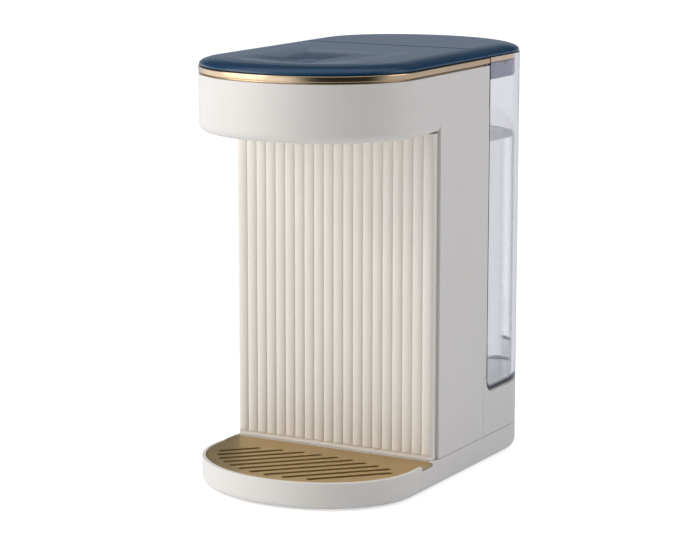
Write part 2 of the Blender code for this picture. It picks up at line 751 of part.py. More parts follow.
def make_main_shell():
    """The cream head and the two side walls of the column, one moulding: open at its top, between
    its walls and at its back, with a round opening in the head's underside for the nozzle plate."""
    layers = fillet(HEAD_FILLET, 0.0, HEAD_Z, 1, 5) + fillet(SHELL_EDGE, 0.0, SHELL_TOP_Z, -1, 2)
    shell = plan_solid("main_shell", layers, CREAM, y_high=SHELL_REAR_Y)
    column = box("column", (-HALF_WIDTH, COLUMN_Y, SHELL_BOTTOM_Z),
                 (HALF_WIDTH, SHELL_REAR_Y, HEAD_Z + HEAD_FILLET + WALL))
    join(shell, column)
    floor = fillet(HEAD_FILLET - WALL, WALL, HEAD_Z + WALL, 1, 3)
    hollow = plan_solid("head_hollow", floor + [(WALL, SHELL_TOP_Z + OVERRUN)], CREAM,
                        y_high=SHELL_REAR_Y + OVERRUN)
    inner = HALF_WIDTH - WALL
    passage = box("passage", (-inner, COLUMN_Y - OVERRUN, SHELL_BOTTOM_Z - OVERRUN),
                  (inner, SHELL_REAR_Y + OVERRUN, HEAD_Z + HEAD_FILLET + WALL))
    wide = HALF_WIDTH + OVERRUN
    step = box("ear_step", (-wide, SEAM_Y - SEAM_GAP, SHELL_BOTTOM_Z - OVERRUN),
               (wide, SHELL_REAR_Y + OVERRUN, EAR_Z + SEAM_GAP))
    port = rod("nozzle_port", NOZZLE_PLATE_RADIUS + GAP, HEAD_Z - OVERRUN, HEAD_Z + WALL + OVERRUN,
               (0.0, NOZZLE_Y, 0.0), steps=ROUND_STEPS)
    return cut(shell, hollow, passage, step, port)


def tank_layers(inset, z, corner, edge, top):
    """Layers of the tank's form: its lower front edge is rounded by corner, the rest by edge."""
    layers = []
    for i in range(CORNER_STEPS + 1):
        angle = math.pi / 2 * i / CORNER_STEPS
        rise = corner * (1 - math.cos(angle))
        step_in = max(0.0, edge - rise)
        layers.append((inset + step_in, z + rise, corner * (1 - math.sin(angle))))
    return layers + [(inset, top)]


def make_rear_shell():
    """The cream shell under the tank: its top is the tank's seat, and an ear in front of the tank
    rises to cover the tank's rounded lower edge."""
    shell = plan_solid("rear_shell", [(0.0, SHELL_BOTTOM_Z), (0.0, EAR_Z)], CREAM, y_low=SEAM_Y)
    seat = plan_solid("seat", tank_layers(-OVERRUN, DOCK_TOP_Z, TANK_CORNER, 0.0, EAR_Z + OVERRUN),
                      CREAM, y_low=TANK_Y - SEAT_GAP)
    under = plan_solid("under", [(WALL, SHELL_BOTTOM_Z - OVERRUN),
                                 (WALL, DOCK_TOP_Z - DOCK_FLOOR)], CREAM, y_low=SEAM_Y + WALL)
    opening = rod("socket_opening", SOCKET_BORE + SOCKET_WALL + GAP, DOCK_TOP_Z - DOCK_FLOOR - OVERRUN,
                  DOCK_TOP_Z + OVERRUN, (0.0, VALVE_Y, 0.0), steps=ROUND_STEPS)
    port = rod("hose_port", HOSE_PORT_RADIUS, SEAM_Y - OVERRUN, SEAM_Y + WALL + OVERRUN,
               (HEATER_X, 0.0, PUMP_Z), axis="Y")
    inlet = rod("inlet", GLAND_RADIUS + GAP, REAR_Y - WALL - OVERRUN, REAR_Y + OVERRUN,
                (0.0, 0.0, GLAND_Z), axis="Y")
    return cut(shell, seat, under, opening, port, inlet)


def make_fluted_panel():
    """The fluted front of the column: rounded ribs side by side that run out above a plain plinth.
    Each rib is a circular arc in plan."""
    half = HALF_WIDTH - PANEL_SIDE_INSET
    first = -RIB_COUNT * RIB_PITCH / 2
    rise = [RIB_HEIGHT * math.sqrt(math.sin(math.pi * i / RIB_STEPS)) for i in range(RIB_STEPS)]
    front = []
    for rib in range(RIB_COUNT):
        for i in range(RIB_STEPS):
            front.append((first + (rib + i / RIB_STEPS) * RIB_PITCH, rise[i]))
    front.append((-first, 0.0))
    corner = PANEL_CORNER
    loops = []
    ribbed = SHELL_BOTTOM_Z + PLINTH_HEIGHT
    for share, z in ((0.0, SHELL_BOTTOM_Z), (0.0, ribbed), (1.0, ribbed + RIB_RUN_OUT),
                     (1.0, HEAD_Z - GAP)):
        loop = [(-half, PANEL_BACK_Y, z), (-half, PANEL_VALLEY_Y + corner, z)]
        loop += [(x, PANEL_VALLEY_Y - share * y, z) for x, y in front]
        loop += [(half, PANEL_VALLEY_Y + corner, z), (half, PANEL_BACK_Y, z)]
        loops.append(loop)
    return loft("fluted_panel", loops, WARM_CREAM)


def make_chassis():
    """The inner frame: a plate behind the fluted panel with a shelf for the pump and the heater."""
    top = HEAD_Z - GAP
    plate = box("chassis", (-INNER_X, CHASSIS_Y, SHELL_BOTTOM_Z),
                (INNER_X, CHASSIS_Y + CHASSIS_WALL, top), WHITE_PLASTIC)
    rear = REAR_WALL_FRONT_Y - SHELF_REAR_GAP
    shelf = box("shelf", (-SHELF_X, CHASSIS_Y + CHASSIS_WALL / 2, SHELF_Z),
                (SHELF_X, rear, SHELF_Z + CHASSIS_WALL))
    legs = []
    for side in (-1, 1):
        x = side * (SHELF_X - CHASSIS_WALL)
        legs.append(box("leg", (x - CHASSIS_WALL / 2, CHASSIS_Y + CHASSIS_WALL / 2, SHELL_BOTTOM_Z),
                        (x + CHASSIS_WALL / 2, rear - CHASSIS_WALL, SHELF_Z + CHASSIS_WALL / 2)))
    join(plate, shelf, *legs)
    hose_pass = rod("hose_pass", HOSE_PASS_RADIUS, SHELF_Z - OVERRUN, SHELF_Z + CHASSIS_WALL + OVERRUN,
                    (HEATER_X, WORKS_Y, 0.0))
    return cut(plate, hose_pass)


def make_rear_wall():
    """The wall that closes the column behind the works, in front of the tank."""
    low = (-INNER_X, REAR_WALL_FRONT_Y, SHELL_BOTTOM_Z)
    high = (INNER_X, REAR_WALL_Y, SHELL_TOP_Z - BAND_TONGUE_DEPTH - GAP)
    wall = box("rear_wall", low, high, WHITE_PLASTIC)
    x, y, z = board_corner()
    inset = STANDOFF_RADIUS
    standoffs = []
    for post_x in (x + inset, x + BOARD_WIDTH - inset):
        for post_z in (z + inset, z + BOARD_HEIGHT - inset):
            standoffs.append(rod("standoff", STANDOFF_RADIUS, low[1] - BOARD_STANDOFF,
                                 low[1] + REAR_WALL_THICKNESS / 2, (post_x, 0.0, post_z), axis="Y"))
    join(wall, *standoffs)
    port = rod("hose_port", HOSE_PORT_RADIUS, REAR_WALL_FRONT_Y - OVERRUN,
               REAR_WALL_Y + OVERRUN, (HEATER_X, 0.0, PUMP_Z), axis="Y")
    return cut(wall, port)


def make_trim_band():
    """The gold band round the head's top. Its tongue stands inside the shell's wall and holds it
    clear of the shell's edge by the shadow gap."""
    tongue = WALL + GAP
    inner = tongue + BAND_TONGUE
    foot = SHELL_TOP_Z - BAND_TONGUE_DEPTH
    profile = [(BAND_EDGE, BAND_Z), (0.0, BAND_Z + BAND_EDGE), (0.0, BAND_TOP_Z - BAND_EDGE),
               (BAND_EDGE, BAND_TOP_Z), (inner, BAND_TOP_Z), (inner, foot), (tongue, foot),
               (tongue, BAND_Z)]
    return plan_ring("trim_band", profile, GOLD, y_high=SHELL_REAR_Y - BAND_EDGE, high_wall=1.0)


def crown_layers():
    """Layers of a navy cap: a short upright lip, then a quarter ellipse in to the flat top."""
    layers = [(CAP_INSET, CAP_Z)]
    for i in range(CROWN_STEPS + 1):
        angle = math.pi / 2 * i / CROWN_STEPS
        step_in = CAP_EDGE_WIDTH * (1 - math.cos(angle))
        z = CAP_Z + CAP_LIP + (CAP_THICKNESS - CAP_LIP) * math.sin(angle)
        layers.append((CAP_INSET + step_in, z, SEAM_BREAK if i == CROWN_STEPS else 0.0))
    return layers


# Top panel and its touch control

def make_top_panel():
    """The navy front cap: a crowned edge, a shallow round dish for the touch control, a locating
    wall inside the trim band and four posts for the control board."""
    panel = plan_solid("top_panel", crown_layers(), NAVY, y_high=SEAM_Y - SEAM_GAP / 2)
    inset = WALL + GAP + BAND_TONGUE + GAP
    rear = SHELL_REAR_Y - inset
    foot = CAP_Z - LOCATING_DEPTH
    profile = [(inset, foot), (inset, CAP_Z + CAP_LIP), (inset + LID_WALL, CAP_Z + CAP_LIP),
               (inset + LID_WALL, foot)]
    wall = plan_ring("locating_wall", profile, NAVY, y_high=rear, high_wall=1.0)
    posts = []
    for x, y in board_posts():
        posts.append(rod("post", STANDOFF_RADIUS, CAP_Z - LOCATING_DEPTH, CAP_Z + CAP_LIP, (x, y, 0.0)))
    join(panel, wall, *posts)
    ball = (DISH_RADIUS ** 2 + DISH_DEPTH ** 2) / (2 * DISH_DEPTH)
    bowl = [(0.0, CAP_TOP_Z - DISH_DEPTH)]
    for i in range(1, DISH_STEPS + 1):
        radius = DISH_RADIUS * i / DISH_STEPS
        bowl.append((radius, CAP_TOP_Z - DISH_DEPTH + ball - math.sqrt(ball ** 2 - radius ** 2)))
    bowl += [(DISH_RADIUS, CAP_TOP_Z + OVERRUN), (0.0, CAP_TOP_Z + OVERRUN)]
    dish = turned("dish", bowl, (0.0, TOUCH_Y, 0.0), NAVY, DISH_SIDES)
    low = CAP_TOP_Z - DISH_DEPTH - TOUCH_RING_DEPTH - GAP
    groove = ring_solid("groove", TOUCH_RING_RADIUS - TOUCH_RING_WIDTH - GAP / 2,
                        TOUCH_RING_RADIUS + GAP / 2, low, CAP_TOP_Z + OVERRUN, (0.0, TOUCH_Y, 0.0))
    return cut(panel, dish, groove)


def ring_solid(name, inner, outer, low, high, centre, look=CREAM, steps=ROUND_STEPS, axis="Z"):
    """A plain ring between two radii and two heights."""
    profile = [(inner, low), (outer, low), (outer, high), (inner, high)]
    return turned(name, profile, centre, look, steps, axis)


def board_posts():
    """The places of the posts that hold the control board."""
    x = CONTROL_BOARD_WIDTH / 2 - STANDOFF_RADIUS
    y = CONTROL_BOARD_DEPTH / 2 - STANDOFF_RADIUS
    return [(i * x, TOUCH_Y + j * y) for i in (-1, 1) for j in (-1, 1)]


def make_touch_ring():
    """The thin ring that marks the touch control, flush with the dish."""
    high = CAP_TOP_Z - DISH_DEPTH
    return ring_solid("touch_ring", TOUCH_RING_RADIUS - TOUCH_RING_WIDTH, TOUCH_RING_RADIUS,
                      high - TOUCH_RING_DEPTH, high, (0.0, TOUCH_Y, 0.0), SILICONE)


def make_control_board():
    """The touch control's circuit board, screwed up to the posts, with its sensor chip below."""
    high = CAP_Z - LOCATING_DEPTH - GAP
    low = high - BOARD_THICKNESS
    half_x = CONTROL_BOARD_WIDTH / 2
    half_y = CONTROL_BOARD_DEPTH / 2
    board = box("control_board", (-half_x, TOUCH_Y - half_y, low), (half_x, TOUCH_Y + half_y, high),
                BOARD_GREEN)
    chip = box("chip", (-CHIP_HALF, TOUCH_Y - CHIP_HALF, low - BOARD_THICKNESS),
               (CHIP_HALF, TOUCH_Y + CHIP_HALF, low + BOARD_THICKNESS / 2))
    return join(board, chip)


# Nozzle

def make_nozzle_plate():
    """The round plate in the head's underside: it is flush below and lies on the head's floor by
    its lip."""
    hole = NOZZLE_RADIUS + GAP
    shelf = HEAD_Z + WALL + GAP
    top = shelf + NOZZLE_PLATE_THICKNESS
    edge = NOZZLE_PLATE_RADIUS
    profile = [(hole, HEAD_Z), (edge - EDGE_BREAK, HEAD_Z), (edge, HEAD_Z + EDGE_BREAK),
               (edge, shelf), (edge + NOZZLE_PLATE_LIP, shelf), (edge + NOZZLE_PLATE_LIP, top),
               (hole, top)]
    return turned("nozzle_plate", profile, (0.0, NOZZLE_Y, 0.0), WHITE_PLASTIC)


def nozzle_top():
    """The height of the nozzle's hose end."""
    return HEAD_Z + WALL + GAP + NOZZLE_PLATE_THICKNESS + GAP + NOZZLE_RISE


def make_nozzle():
    """The silicone spout: a tapered tip below the head, a flange on the plate and a hose end."""
    flange = HEAD_Z + WALL + GAP + NOZZLE_PLATE_THICKNESS + GAP
    tip = HEAD_Z - NOZZLE_DROP
    profile = [(NOZZLE_BORE, tip), (NOZZLE_TIP_RADIUS - EDGE_BREAK, tip),
               (NOZZLE_TIP_RADIUS, tip + EDGE_BREAK), (NOZZLE_TIP_RADIUS, tip + NOZZLE_DROP / 2),
               (NOZZLE_RADIUS, HEAD_Z - EDGE_BREAK), (NOZZLE_RADIUS, flange),
               (NOZZLE_RADIUS + NOZZLE_FLANGE, flange),
               (NOZZLE_RADIUS + NOZZLE_FLANGE, flange + NOZZLE_PLATE_THICKNESS),
               (NOZZLE_TIP_RADIUS, flange + NOZZLE_PLATE_THICKNESS),
               (NOZZLE_TIP_RADIUS, nozzle_top()), (NOZZLE_BORE, nozzle_top())]
    return turned("dispense_nozzle", profile, (0.0, NOZZLE_Y, 0.0), SILICONE)


# Tank, its lid and its valve

def make_tank():
    """The clear water tank: it carries on the body's plan behind the shell, its lower front edge is
    rounded, and its floor has the opening for the valve."""
    tank = plan_solid("tank", tank_layers(0.0, TANK_Z, TANK_CORNER, TANK_EDGE, TANK_TOP_Z), CLEAR,
                      y_low=TANK_Y)
    inner = tank_layers(TANK_WALL, TANK_Z + TANK_FLOOR, TANK_CORNER - TANK_WALL, TANK_EDGE,
                        TANK_TOP_Z + OVERRUN)
    hollow = plan_solid("hollow", inner, CLEAR, y_low=TANK_Y + TANK_WALL)
    port = rod("port", VALVE_NECK_RADIUS + GAP, TANK_Z - OVERRUN, TANK_Z + TANK_FLOOR + OVERRUN,
               (0.0, VALVE_Y, 0.0), steps=ROUND_STEPS)
    return cut(tank, hollow, port)


def make_tank_lid():
    """The navy lid: a crowned cap over the tank's rim, with a plug wall that goes down inside it."""
    lid = plan_solid("tank_lid", crown_layers(), NAVY, y_low=SEAM_Y + SEAM_GAP / 2)
    inset = TANK_WALL + LID_GROOVE + SKIRT_THICKNESS + GAP
    foot = SKIRT_Z + EDGE_BREAK
    profile = [(inset, foot), (inset, CAP_Z + CAP_LIP), (inset + LID_WALL, CAP_Z + CAP_LIP),
               (inset + LID_WALL, foot)]
    wall = plan_ring("plug_wall", profile, NAVY, y_low=TANK_Y + inset, low_wall=1.0)
    return join(lid, wall)


def make_lid_trim():
    """The gold band of the lid, just inside the tank's clear wall, at the head band's height."""
    inset = TANK_WALL + LID_GROOVE
    inner = inset + SKIRT_THICKNESS
    profile = [(inset, BAND_Z), (inset, BAND_TOP_Z), (inner, BAND_TOP_Z), (inner, BAND_Z)]
    return plan_ring("lid_trim", profile, GOLD, y_low=TANK_Y + inset, low_wall=1.0)


def make_lid_seal():
    """The grey sealing skirt below the lid's band, tapered at its foot, with a small V-shaped air
    notch in each side."""
    inset = TANK_WALL + LID_GROOVE
    inner = inset + SKIRT_THICKNESS
    top = BAND_Z - GAP
    profile = [(inset + SKIRT_TAPER, SKIRT_Z), (inset, SKIRT_Z + SKIRT_TAPER * 2), (inset, top),
               (inner, top), (inner, SKIRT_Z)]
    skirt = plan_ring("lid_seal", profile, SEAL_GREY, y_low=TANK_Y + inset + SKIRT_TAPER,
                      low_wall=1.0)
    y = TANK_Y + VENT_NOTCH_REAR
    outline = [(y - VENT_NOTCH, top + OVERRUN), (y + VENT_NOTCH, top + OVERRUN),
               (y, top - VENT_NOTCH)]
    return cut(skirt, prism("air_notch", outline, -HALF_WIDTH, HALF_WIDTH, axis="X"))


def make_valve_body():
    """The valve's body: a neck through the tank's floor with a seat at its foot and a flange
    inside the tank."""
    top = VALVE_FLANGE_Z + VALVE_FLANGE_THICKNESS
    profile = [(VALVE_SEAT_RADIUS, VALVE_FOOT_Z), (VALVE_NECK_RADIUS, VALVE_FOOT_Z),
               (VALVE_NECK_RADIUS, VALVE_FLANGE_Z), (VALVE_FLANGE_RADIUS, VALVE_FLANGE_Z),
               (VALVE_FLANGE_RADIUS, top), (VALVE_BORE_RADIUS, top),
               (VALVE_BORE_RADIUS, VALVE_FOOT_Z + VALVE_SEAT_THICKNESS),
               (VALVE_SEAT_RADIUS, VALVE_FOOT_Z + VALVE_SEAT_THICKNESS)]
    return turned("valve_body", profile, (0.0, VALVE_Y, 0.0), WHITE_PLASTIC)


def make_valve_plunger():
    """The plunger that the dock's pin holds open: a disc on a stem."""
    disc = PLUNGER_Z + PLUNGER_SEAL_THICKNESS + GAP
    top = disc + PLUNGER_DISC_THICKNESS
    profile = [(0.0, STEM_Z), (PLUNGER_STEM_RADIUS, STEM_Z), (PLUNGER_STEM_RADIUS, disc),
               (PLUNGER_DISC_RADIUS, disc), (PLUNGER_DISC_RADIUS, top), (PLUNGER_STEM_RADIUS, top),
               (PLUNGER_STEM_RADIUS, top + SPRING_RADIUS), (0.0, top + SPRING_RADIUS)]
    return turned("valve_plunger", profile, (0.0, VALVE_Y, 0.0), WHITE_PLASTIC)


def make_valve_seal():
    """The rubber washer under the plunger's disc, which closes on the seat."""
    return ring_solid("valve_seal", PLUNGER_STEM_RADIUS + GAP, PLUNGER_DISC_RADIUS - GAP, PLUNGER_Z,
                      PLUNGER_Z + PLUNGER_SEAL_THICKNESS, (0.0, VALVE_Y, 0.0), RUBBER)


def make_valve_spring():
    """The spring between the plunger's disc and the strainer's roof: a helix with one sweep of
    round wire."""
    low = PLUNGER_Z + PLUNGER_SEAL_THICKNESS + GAP + PLUNGER_DISC_THICKNESS + GAP + SPRING_WIRE
    high = STRAINER_Z + STRAINER_HEIGHT - STRAINER_WALL - GAP - SPRING_WIRE
    steps = SPRING_TURNS * SPRING_SIDES
    route = []
    for i in range(steps + 1):
        turn = 2 * math.pi * i / SPRING_SIDES
        route.append((SPRING_RADIUS * math.cos(turn), VALVE_Y + SPRING_RADIUS * math.sin(turn),
                      low + (high - low) * i / steps))
    return tube("valve_spring", route, SPRING_WIRE, STEEL, 1, smooth=False)


def make_strainer():
    """The slotted strainer cap over the valve, inside the tank."""
    outer = VALVE_FLANGE_RADIUS - GAP
    top = STRAINER_Z + STRAINER_HEIGHT
    profile = [(0.0, top), (outer - STRAINER_WALL, top), (outer, top - STRAINER_WALL),
               (outer, STRAINER_Z), (outer - STRAINER_WALL, STRAINER_Z),
               (outer - STRAINER_WALL, top - STRAINER_WALL), (0.0, top - STRAINER_WALL)]
    cap = turned("tank_strainer", profile, (0.0, VALVE_Y, 0.0), WHITE_PLASTIC)
    slits = []
    for i in range(STRAINER_SLITS // 2):
        angle = math.pi * i / (STRAINER_SLITS // 2)
        outline = capsule(2 * VALVE_FLANGE_RADIUS + STRAINER_SLIT, STRAINER_SLIT, 0.0, VALVE_Y, angle, 1)
        slits.append(prism("slit", outline, STRAINER_Z + STRAINER_SLIT,
                           top - STRAINER_WALL - STRAINER_SLIT))
    return cut(cap, *slits)


def make_dock_socket():
    """The socket in the dock: a cup under the shell's opening with a spigot forwards and the pin
    that lifts the valve's plunger."""
    floor = DOCK_TOP_Z - SOCKET_DEPTH
    outer = SOCKET_BORE + SOCKET_WALL
    seat = DOCK_TOP_Z - DOCK_FLOOR - GAP
    profile = [(0.0, floor - SOCKET_FLOOR), (outer, floor - SOCKET_FLOOR),
               (outer, seat - SOCKET_FLANGE_THICKNESS),
               (outer + SOCKET_FLANGE, seat - SOCKET_FLANGE_THICKNESS), (outer + SOCKET_FLANGE, seat),
               (outer, seat), (outer, DOCK_TOP_Z - GAP), (SOCKET_BORE, DOCK_TOP_Z - GAP),
               (SOCKET_BORE, floor), (0.0, floor)]
    socket = turned("dock_socket", profile, (0.0, VALVE_Y, 0.0), WHITE_PLASTIC)
    pin = rod("pin", PLUNGER_STEM_RADIUS, floor - SOCKET_FLOOR / 2, STEM_Z - GAP, (0.0, VALVE_Y, 0.0))
    spigot = rod("spigot", SPIGOT_RADIUS, VALVE_Y - outer - SPIGOT_LENGTH, VALVE_Y - outer + SOCKET_WALL / 2,
                 (0.0, 0.0, PUMP_Z), axis="Y")
    return join(socket, pin, spigot)


def make_dock_seal():
    """The ring seal between the socket's bore and the valve's neck."""
    high = DOCK_TOP_Z - WALL
    return ring_solid("dock_seal", VALVE_NECK_RADIUS + GAP, SOCKET_BORE - GAP, high - SEAL_HEIGHT, high,
                      (0.0, VALVE_Y, 0.0), RUBBER)


# Works inside the column

def make_pump_head():
    """The pump's head, a drum across the column with an inlet behind and an outlet on top."""
    middle = HEATER_X
    half = PUMP_HEAD_LENGTH / 2
    head = rod("pump_head", PUMP_RADIUS, middle - half, middle + half, (0.0, WORKS_Y, PUMP_Z),
               DARK_PLASTIC, ROUND_STEPS, "X")
    reach = PUMP_RADIUS + PUMP_PORT_LENGTH
    start = PUMP_RADIUS - PUMP_PORT_RADIUS
    inlet = rod("inlet", PUMP_PORT_RADIUS, WORKS_Y + start, WORKS_Y + reach, (middle, 0.0, PUMP_Z),
                axis="Y")
    outlet = rod("outlet", PUMP_PORT_RADIUS, PUMP_Z + start, PUMP_Z + reach, (middle, WORKS_Y, 0.0))
    return join(head, inlet, outlet)


def make_pump_motor():
    """The pump's motor, a steel can beside its head."""
    start = HEATER_X + PUMP_HEAD_LENGTH / 2 + GAP
    end = start + PUMP_MOTOR_LENGTH
    profile = [(0.0, start), (PUMP_MOTOR_RADIUS, start), (PUMP_MOTOR_RADIUS, end - EDGE_BREAK),
               (PUMP_MOTOR_RADIUS - EDGE_BREAK, end), (PUMP_STUB_RADIUS, end),
               (PUMP_STUB_RADIUS, end + EDGE_BREAK), (0.0, end + EDGE_BREAK)]
    return turned("pump_motor", profile, (0.0, WORKS_Y, PUMP_Z), STEEL, ROUND_STEPS, "X")


def make_pump_mount():
    """The rubber saddle under the motor, on the base's deck."""
    start = HEATER_X + PUMP_HEAD_LENGTH / 2 + GAP + CRADLE_WALL
    half = PUMP_MOTOR_RADIUS + CRADLE_WALL
    saddle = box("pump_mount", (start, WORKS_Y - half, SHELL_BOTTOM_Z),
                 (start + CRADLE_LENGTH, WORKS_Y + half, PUMP_Z - CRADLE_WALL), RUBBER)
    seat = rod("seat", PUMP_MOTOR_RADIUS + GAP, start - OVERRUN, start + CRADLE_LENGTH + OVERRUN,
               (0.0, WORKS_Y, PUMP_Z), steps=ROUND_STEPS, axis="X")
    return cut(saddle, seat)


def make_heater_tube():
    """The instant heater's steel tube."""
    low = HEATER_Z + HEATER_CAP_FLOOR + GAP
    return ring_solid("heater_tube", HEATER_RADIUS - HEATER_WALL, HEATER_RADIUS, low,
                      low + HEATER_LENGTH, (HEATER_X, WORKS_Y, 0.0), STEEL)


def make_heater_caps():
    """The heater's two end caps, cups over the tube's ends with a hose stub each."""
    outer = HEATER_RADIUS + GAP + HEATER_CAP_LIP
    for name, foot, way in (("heater_low_cap", HEATER_Z, 1), ("heater_top_cap", HEATER_TOP_Z, -1)):
        floor = foot + way * HEATER_CAP_FLOOR
        rim = foot + way * HEATER_CAP_HEIGHT
        stub = foot - way * PUMP_PORT_LENGTH
        profile = [(0.0, stub), (PUMP_PORT_RADIUS, stub), (PUMP_PORT_RADIUS, foot), (outer, foot),
                   (outer, rim), (HEATER_RADIUS + GAP, rim), (HEATER_RADIUS + GAP, floor),
                   (0.0, floor)]
        turned(name, profile, (HEATER_X, WORKS_Y, 0.0), DARK_PLASTIC)


def make_heater_bracket():
    """The clamp that holds the heater to the chassis plate: a band round the tube and an arm."""
    middle = (HEATER_Z + HEATER_TOP_Z) / 2
    inner = HEATER_RADIUS + GAP
    outer = inner + HEATER_BAND_WALL
    low = middle - HEATER_BAND_HEIGHT / 2
    high = middle + HEATER_BAND_HEIGHT / 2
    band = ring_solid("heater_bracket", inner, outer, low, high, (HEATER_X, WORKS_Y, 0.0), STEEL)
    arm = box("arm", (HEATER_X - HEATER_BAND_HEIGHT / 2, CHASSIS_Y + CHASSIS_WALL + GAP, low),
              (HEATER_X + HEATER_BAND_HEIGHT / 2, WORKS_Y - inner - HEATER_BAND_WALL / 2, high))
    return join(band, arm)


def make_cutouts():
    """The two thermal cut-outs on the tube's back, above and below the clamp."""
    middle = (HEATER_Z + HEATER_TOP_Z) / 2
    start = WORKS_Y + HEATER_RADIUS + GAP
    for name, way in (("low_cutout", -1), ("high_cutout", 1)):
        rod(name, CUTOUT_RADIUS, start, start + CUTOUT_HEIGHT,
            (HEATER_X, 0.0, middle + way * CUTOUT_SPREAD), DARK_PLASTIC, axis="Y")


def make_sensor():
    """The water temperature sensor on the heater's top cap."""
    low = HEATER_TOP_Z + GAP
    return rod("temperature_sensor", SENSOR_RADIUS, low, low + SENSOR_LENGTH,
               (HEATER_X - HEATER_RADIUS / 2, WORKS_Y, 0.0), STEEL)


def board_corner():
    """The lower left corner of the power board, near the rear wall."""
    y = REAR_WALL_FRONT_Y - BOARD_STANDOFF - GAP
    return (BOARD_X, y - BOARD_THICKNESS, SHELF_Z + BOARD_RISE)


def make_power_board():
    """The power board, upright on the rear wall's standoffs."""
    x, y, z = board_corner()
    return box("power_board", (x, y, z), (x + BOARD_WIDTH, y + BOARD_THICKNESS, z + BOARD_HEIGHT),
               BOARD_GREEN)


def make_board_parts():
    """The power board's transformer, relay and capacitor, in front of the board."""
    x, y, z = board_corner()
    back = y - GAP
    for name, place_share, size_share in BOARD_BLOCK_SHARES:
        low_x = x + place_share[0] * BOARD_WIDTH
        low_z = z + place_share[1] * BOARD_HEIGHT
        high_x = low_x + size_share[0] * BOARD_WIDTH
        high_z = low_z + size_share[1] * BOARD_HEIGHT
        box(name, (low_x, back - BOARD_PART_DEPTH * size_share[2], low_z), (high_x, back, high_z),
            DARK_PLASTIC)
    rod("capacitor", CUTOUT_RADIUS, back - BOARD_PART_DEPTH, back,
        (x + BOARD_WIDTH / 2, 0.0, z + CAPACITOR_SHARE * BOARD_HEIGHT), DARK_PLASTIC, axis="Y")


def make_inlet_hose():
    """The hose from the dock's spigot, through both rear ports, to the pump's inlet."""
    start = VALVE_Y - SOCKET_BORE - SOCKET_WALL - SPIGOT_LENGTH - GAP
    end = WORKS_Y + PUMP_RADIUS + PUMP_PORT_LENGTH + GAP
    ports = SEAM_Y + WALL + OVERRUN
    swing = (start - ports) / 4
    route = [(0.0, start, PUMP_Z), (0.0, start - swing, PUMP_Z),
             (HEATER_X / 2, (start + ports) / 2, PUMP_Z), (HEATER_X, ports + swing, PUMP_Z),
             (HEATER_X, ports, PUMP_Z), (HEATER_X, end, PUMP_Z)]
    return tube("inlet_hose", route, HOSE_RADIUS, SILICONE)


def make_heater_hose():
    """The short hose from the pump's outlet up through the shelf to the heater."""
    low = PUMP_Z + PUMP_RADIUS + PUMP_PORT_LENGTH + GAP
    high = HEATER_Z - PUMP_PORT_LENGTH - GAP
    route = [(HEATER_X, WORKS_Y, low), (HEATER_X, WORKS_Y, high)]
    return tube("heater_hose", route, HOSE_RADIUS, SILICONE)


def make_outlet_hose():
    """The hose from the heater up and forwards through the head, then down on the nozzle."""
    low = HEATER_TOP_Z + PUMP_PORT_LENGTH + GAP
    end = nozzle_top() + GAP
    crest = end + HOSE_CREST
    turn = HOSE_CREST
    route = [(HEATER_X, WORKS_Y, low), (HEATER_X, WORKS_Y, low + turn),
             (HEATER_X, WORKS_Y - turn / 2, crest - turn),
             (HEATER_X * OUTLET_SHARES[0], WORKS_Y - turn * 2, crest),
             (HEATER_X * OUTLET_SHARES[1], NOZZLE_Y + turn * 2, crest),
             (0.0, NOZZLE_Y + turn / 4, crest - turn / 4), (0.0, NOZZLE_Y, end + turn / 4),
             (0.0, NOZZLE_Y, end)]
    return tube("outlet_hose", route, HOSE_RADIUS, SILICONE)


def make_control_lead():
    """The lead from the power board's top edge to the back of the control board."""
    x, y, z = board_corner()
    x += BOARD_WIDTH / 2
    top = z + BOARD_HEIGHT + GAP
    board_y = TOUCH_Y + CONTROL_BOARD_DEPTH / 2
    board_z = CAP_Z - LOCATING_DEPTH - GAP - BOARD_THICKNESS / 2
    end_x = CONTROL_BOARD_WIDTH / 4
    route = [(x, y + BOARD_THICKNESS / 2, top + LEAD_RADIUS), (x, y, top + HOSE_CREST),
             (x, y - HOSE_CREST / 2, HEAD_Z), (x, WORKS_Y, board_z - LEAD_RADIUS),
             (end_x, board_y + HOSE_CREST, board_z), (end_x, board_y + 2 * GAP, board_z)]
    return tube("control_lead", route, LEAD_RADIUS, DARK_PLASTIC)


def make_cord_gland():
    """The round gland of the mains inlet, flush in the rear shell's back. Its bore is blind."""
    outer = REAR_Y - GLAND_SETBACK
    inner = REAR_Y - WALL - GLAND_SAG - GAP
    end = inner - GLAND_FLANGE_THICKNESS
    profile = [(0.0, end + GLAND_END), (GLAND_BORE, end + GLAND_END), (GLAND_BORE, outer),
               (GLAND_RADIUS, outer), (GLAND_RADIUS, inner), (GLAND_RADIUS + GLAND_FLANGE, inner),
               (GLAND_RADIUS + GLAND_FLANGE, end), (0.0, end)]
    return turned("cord_gland", profile, (0.0, 0.0, GLAND_Z), DARK_PLASTIC, ROUND_STEPS, "Y")


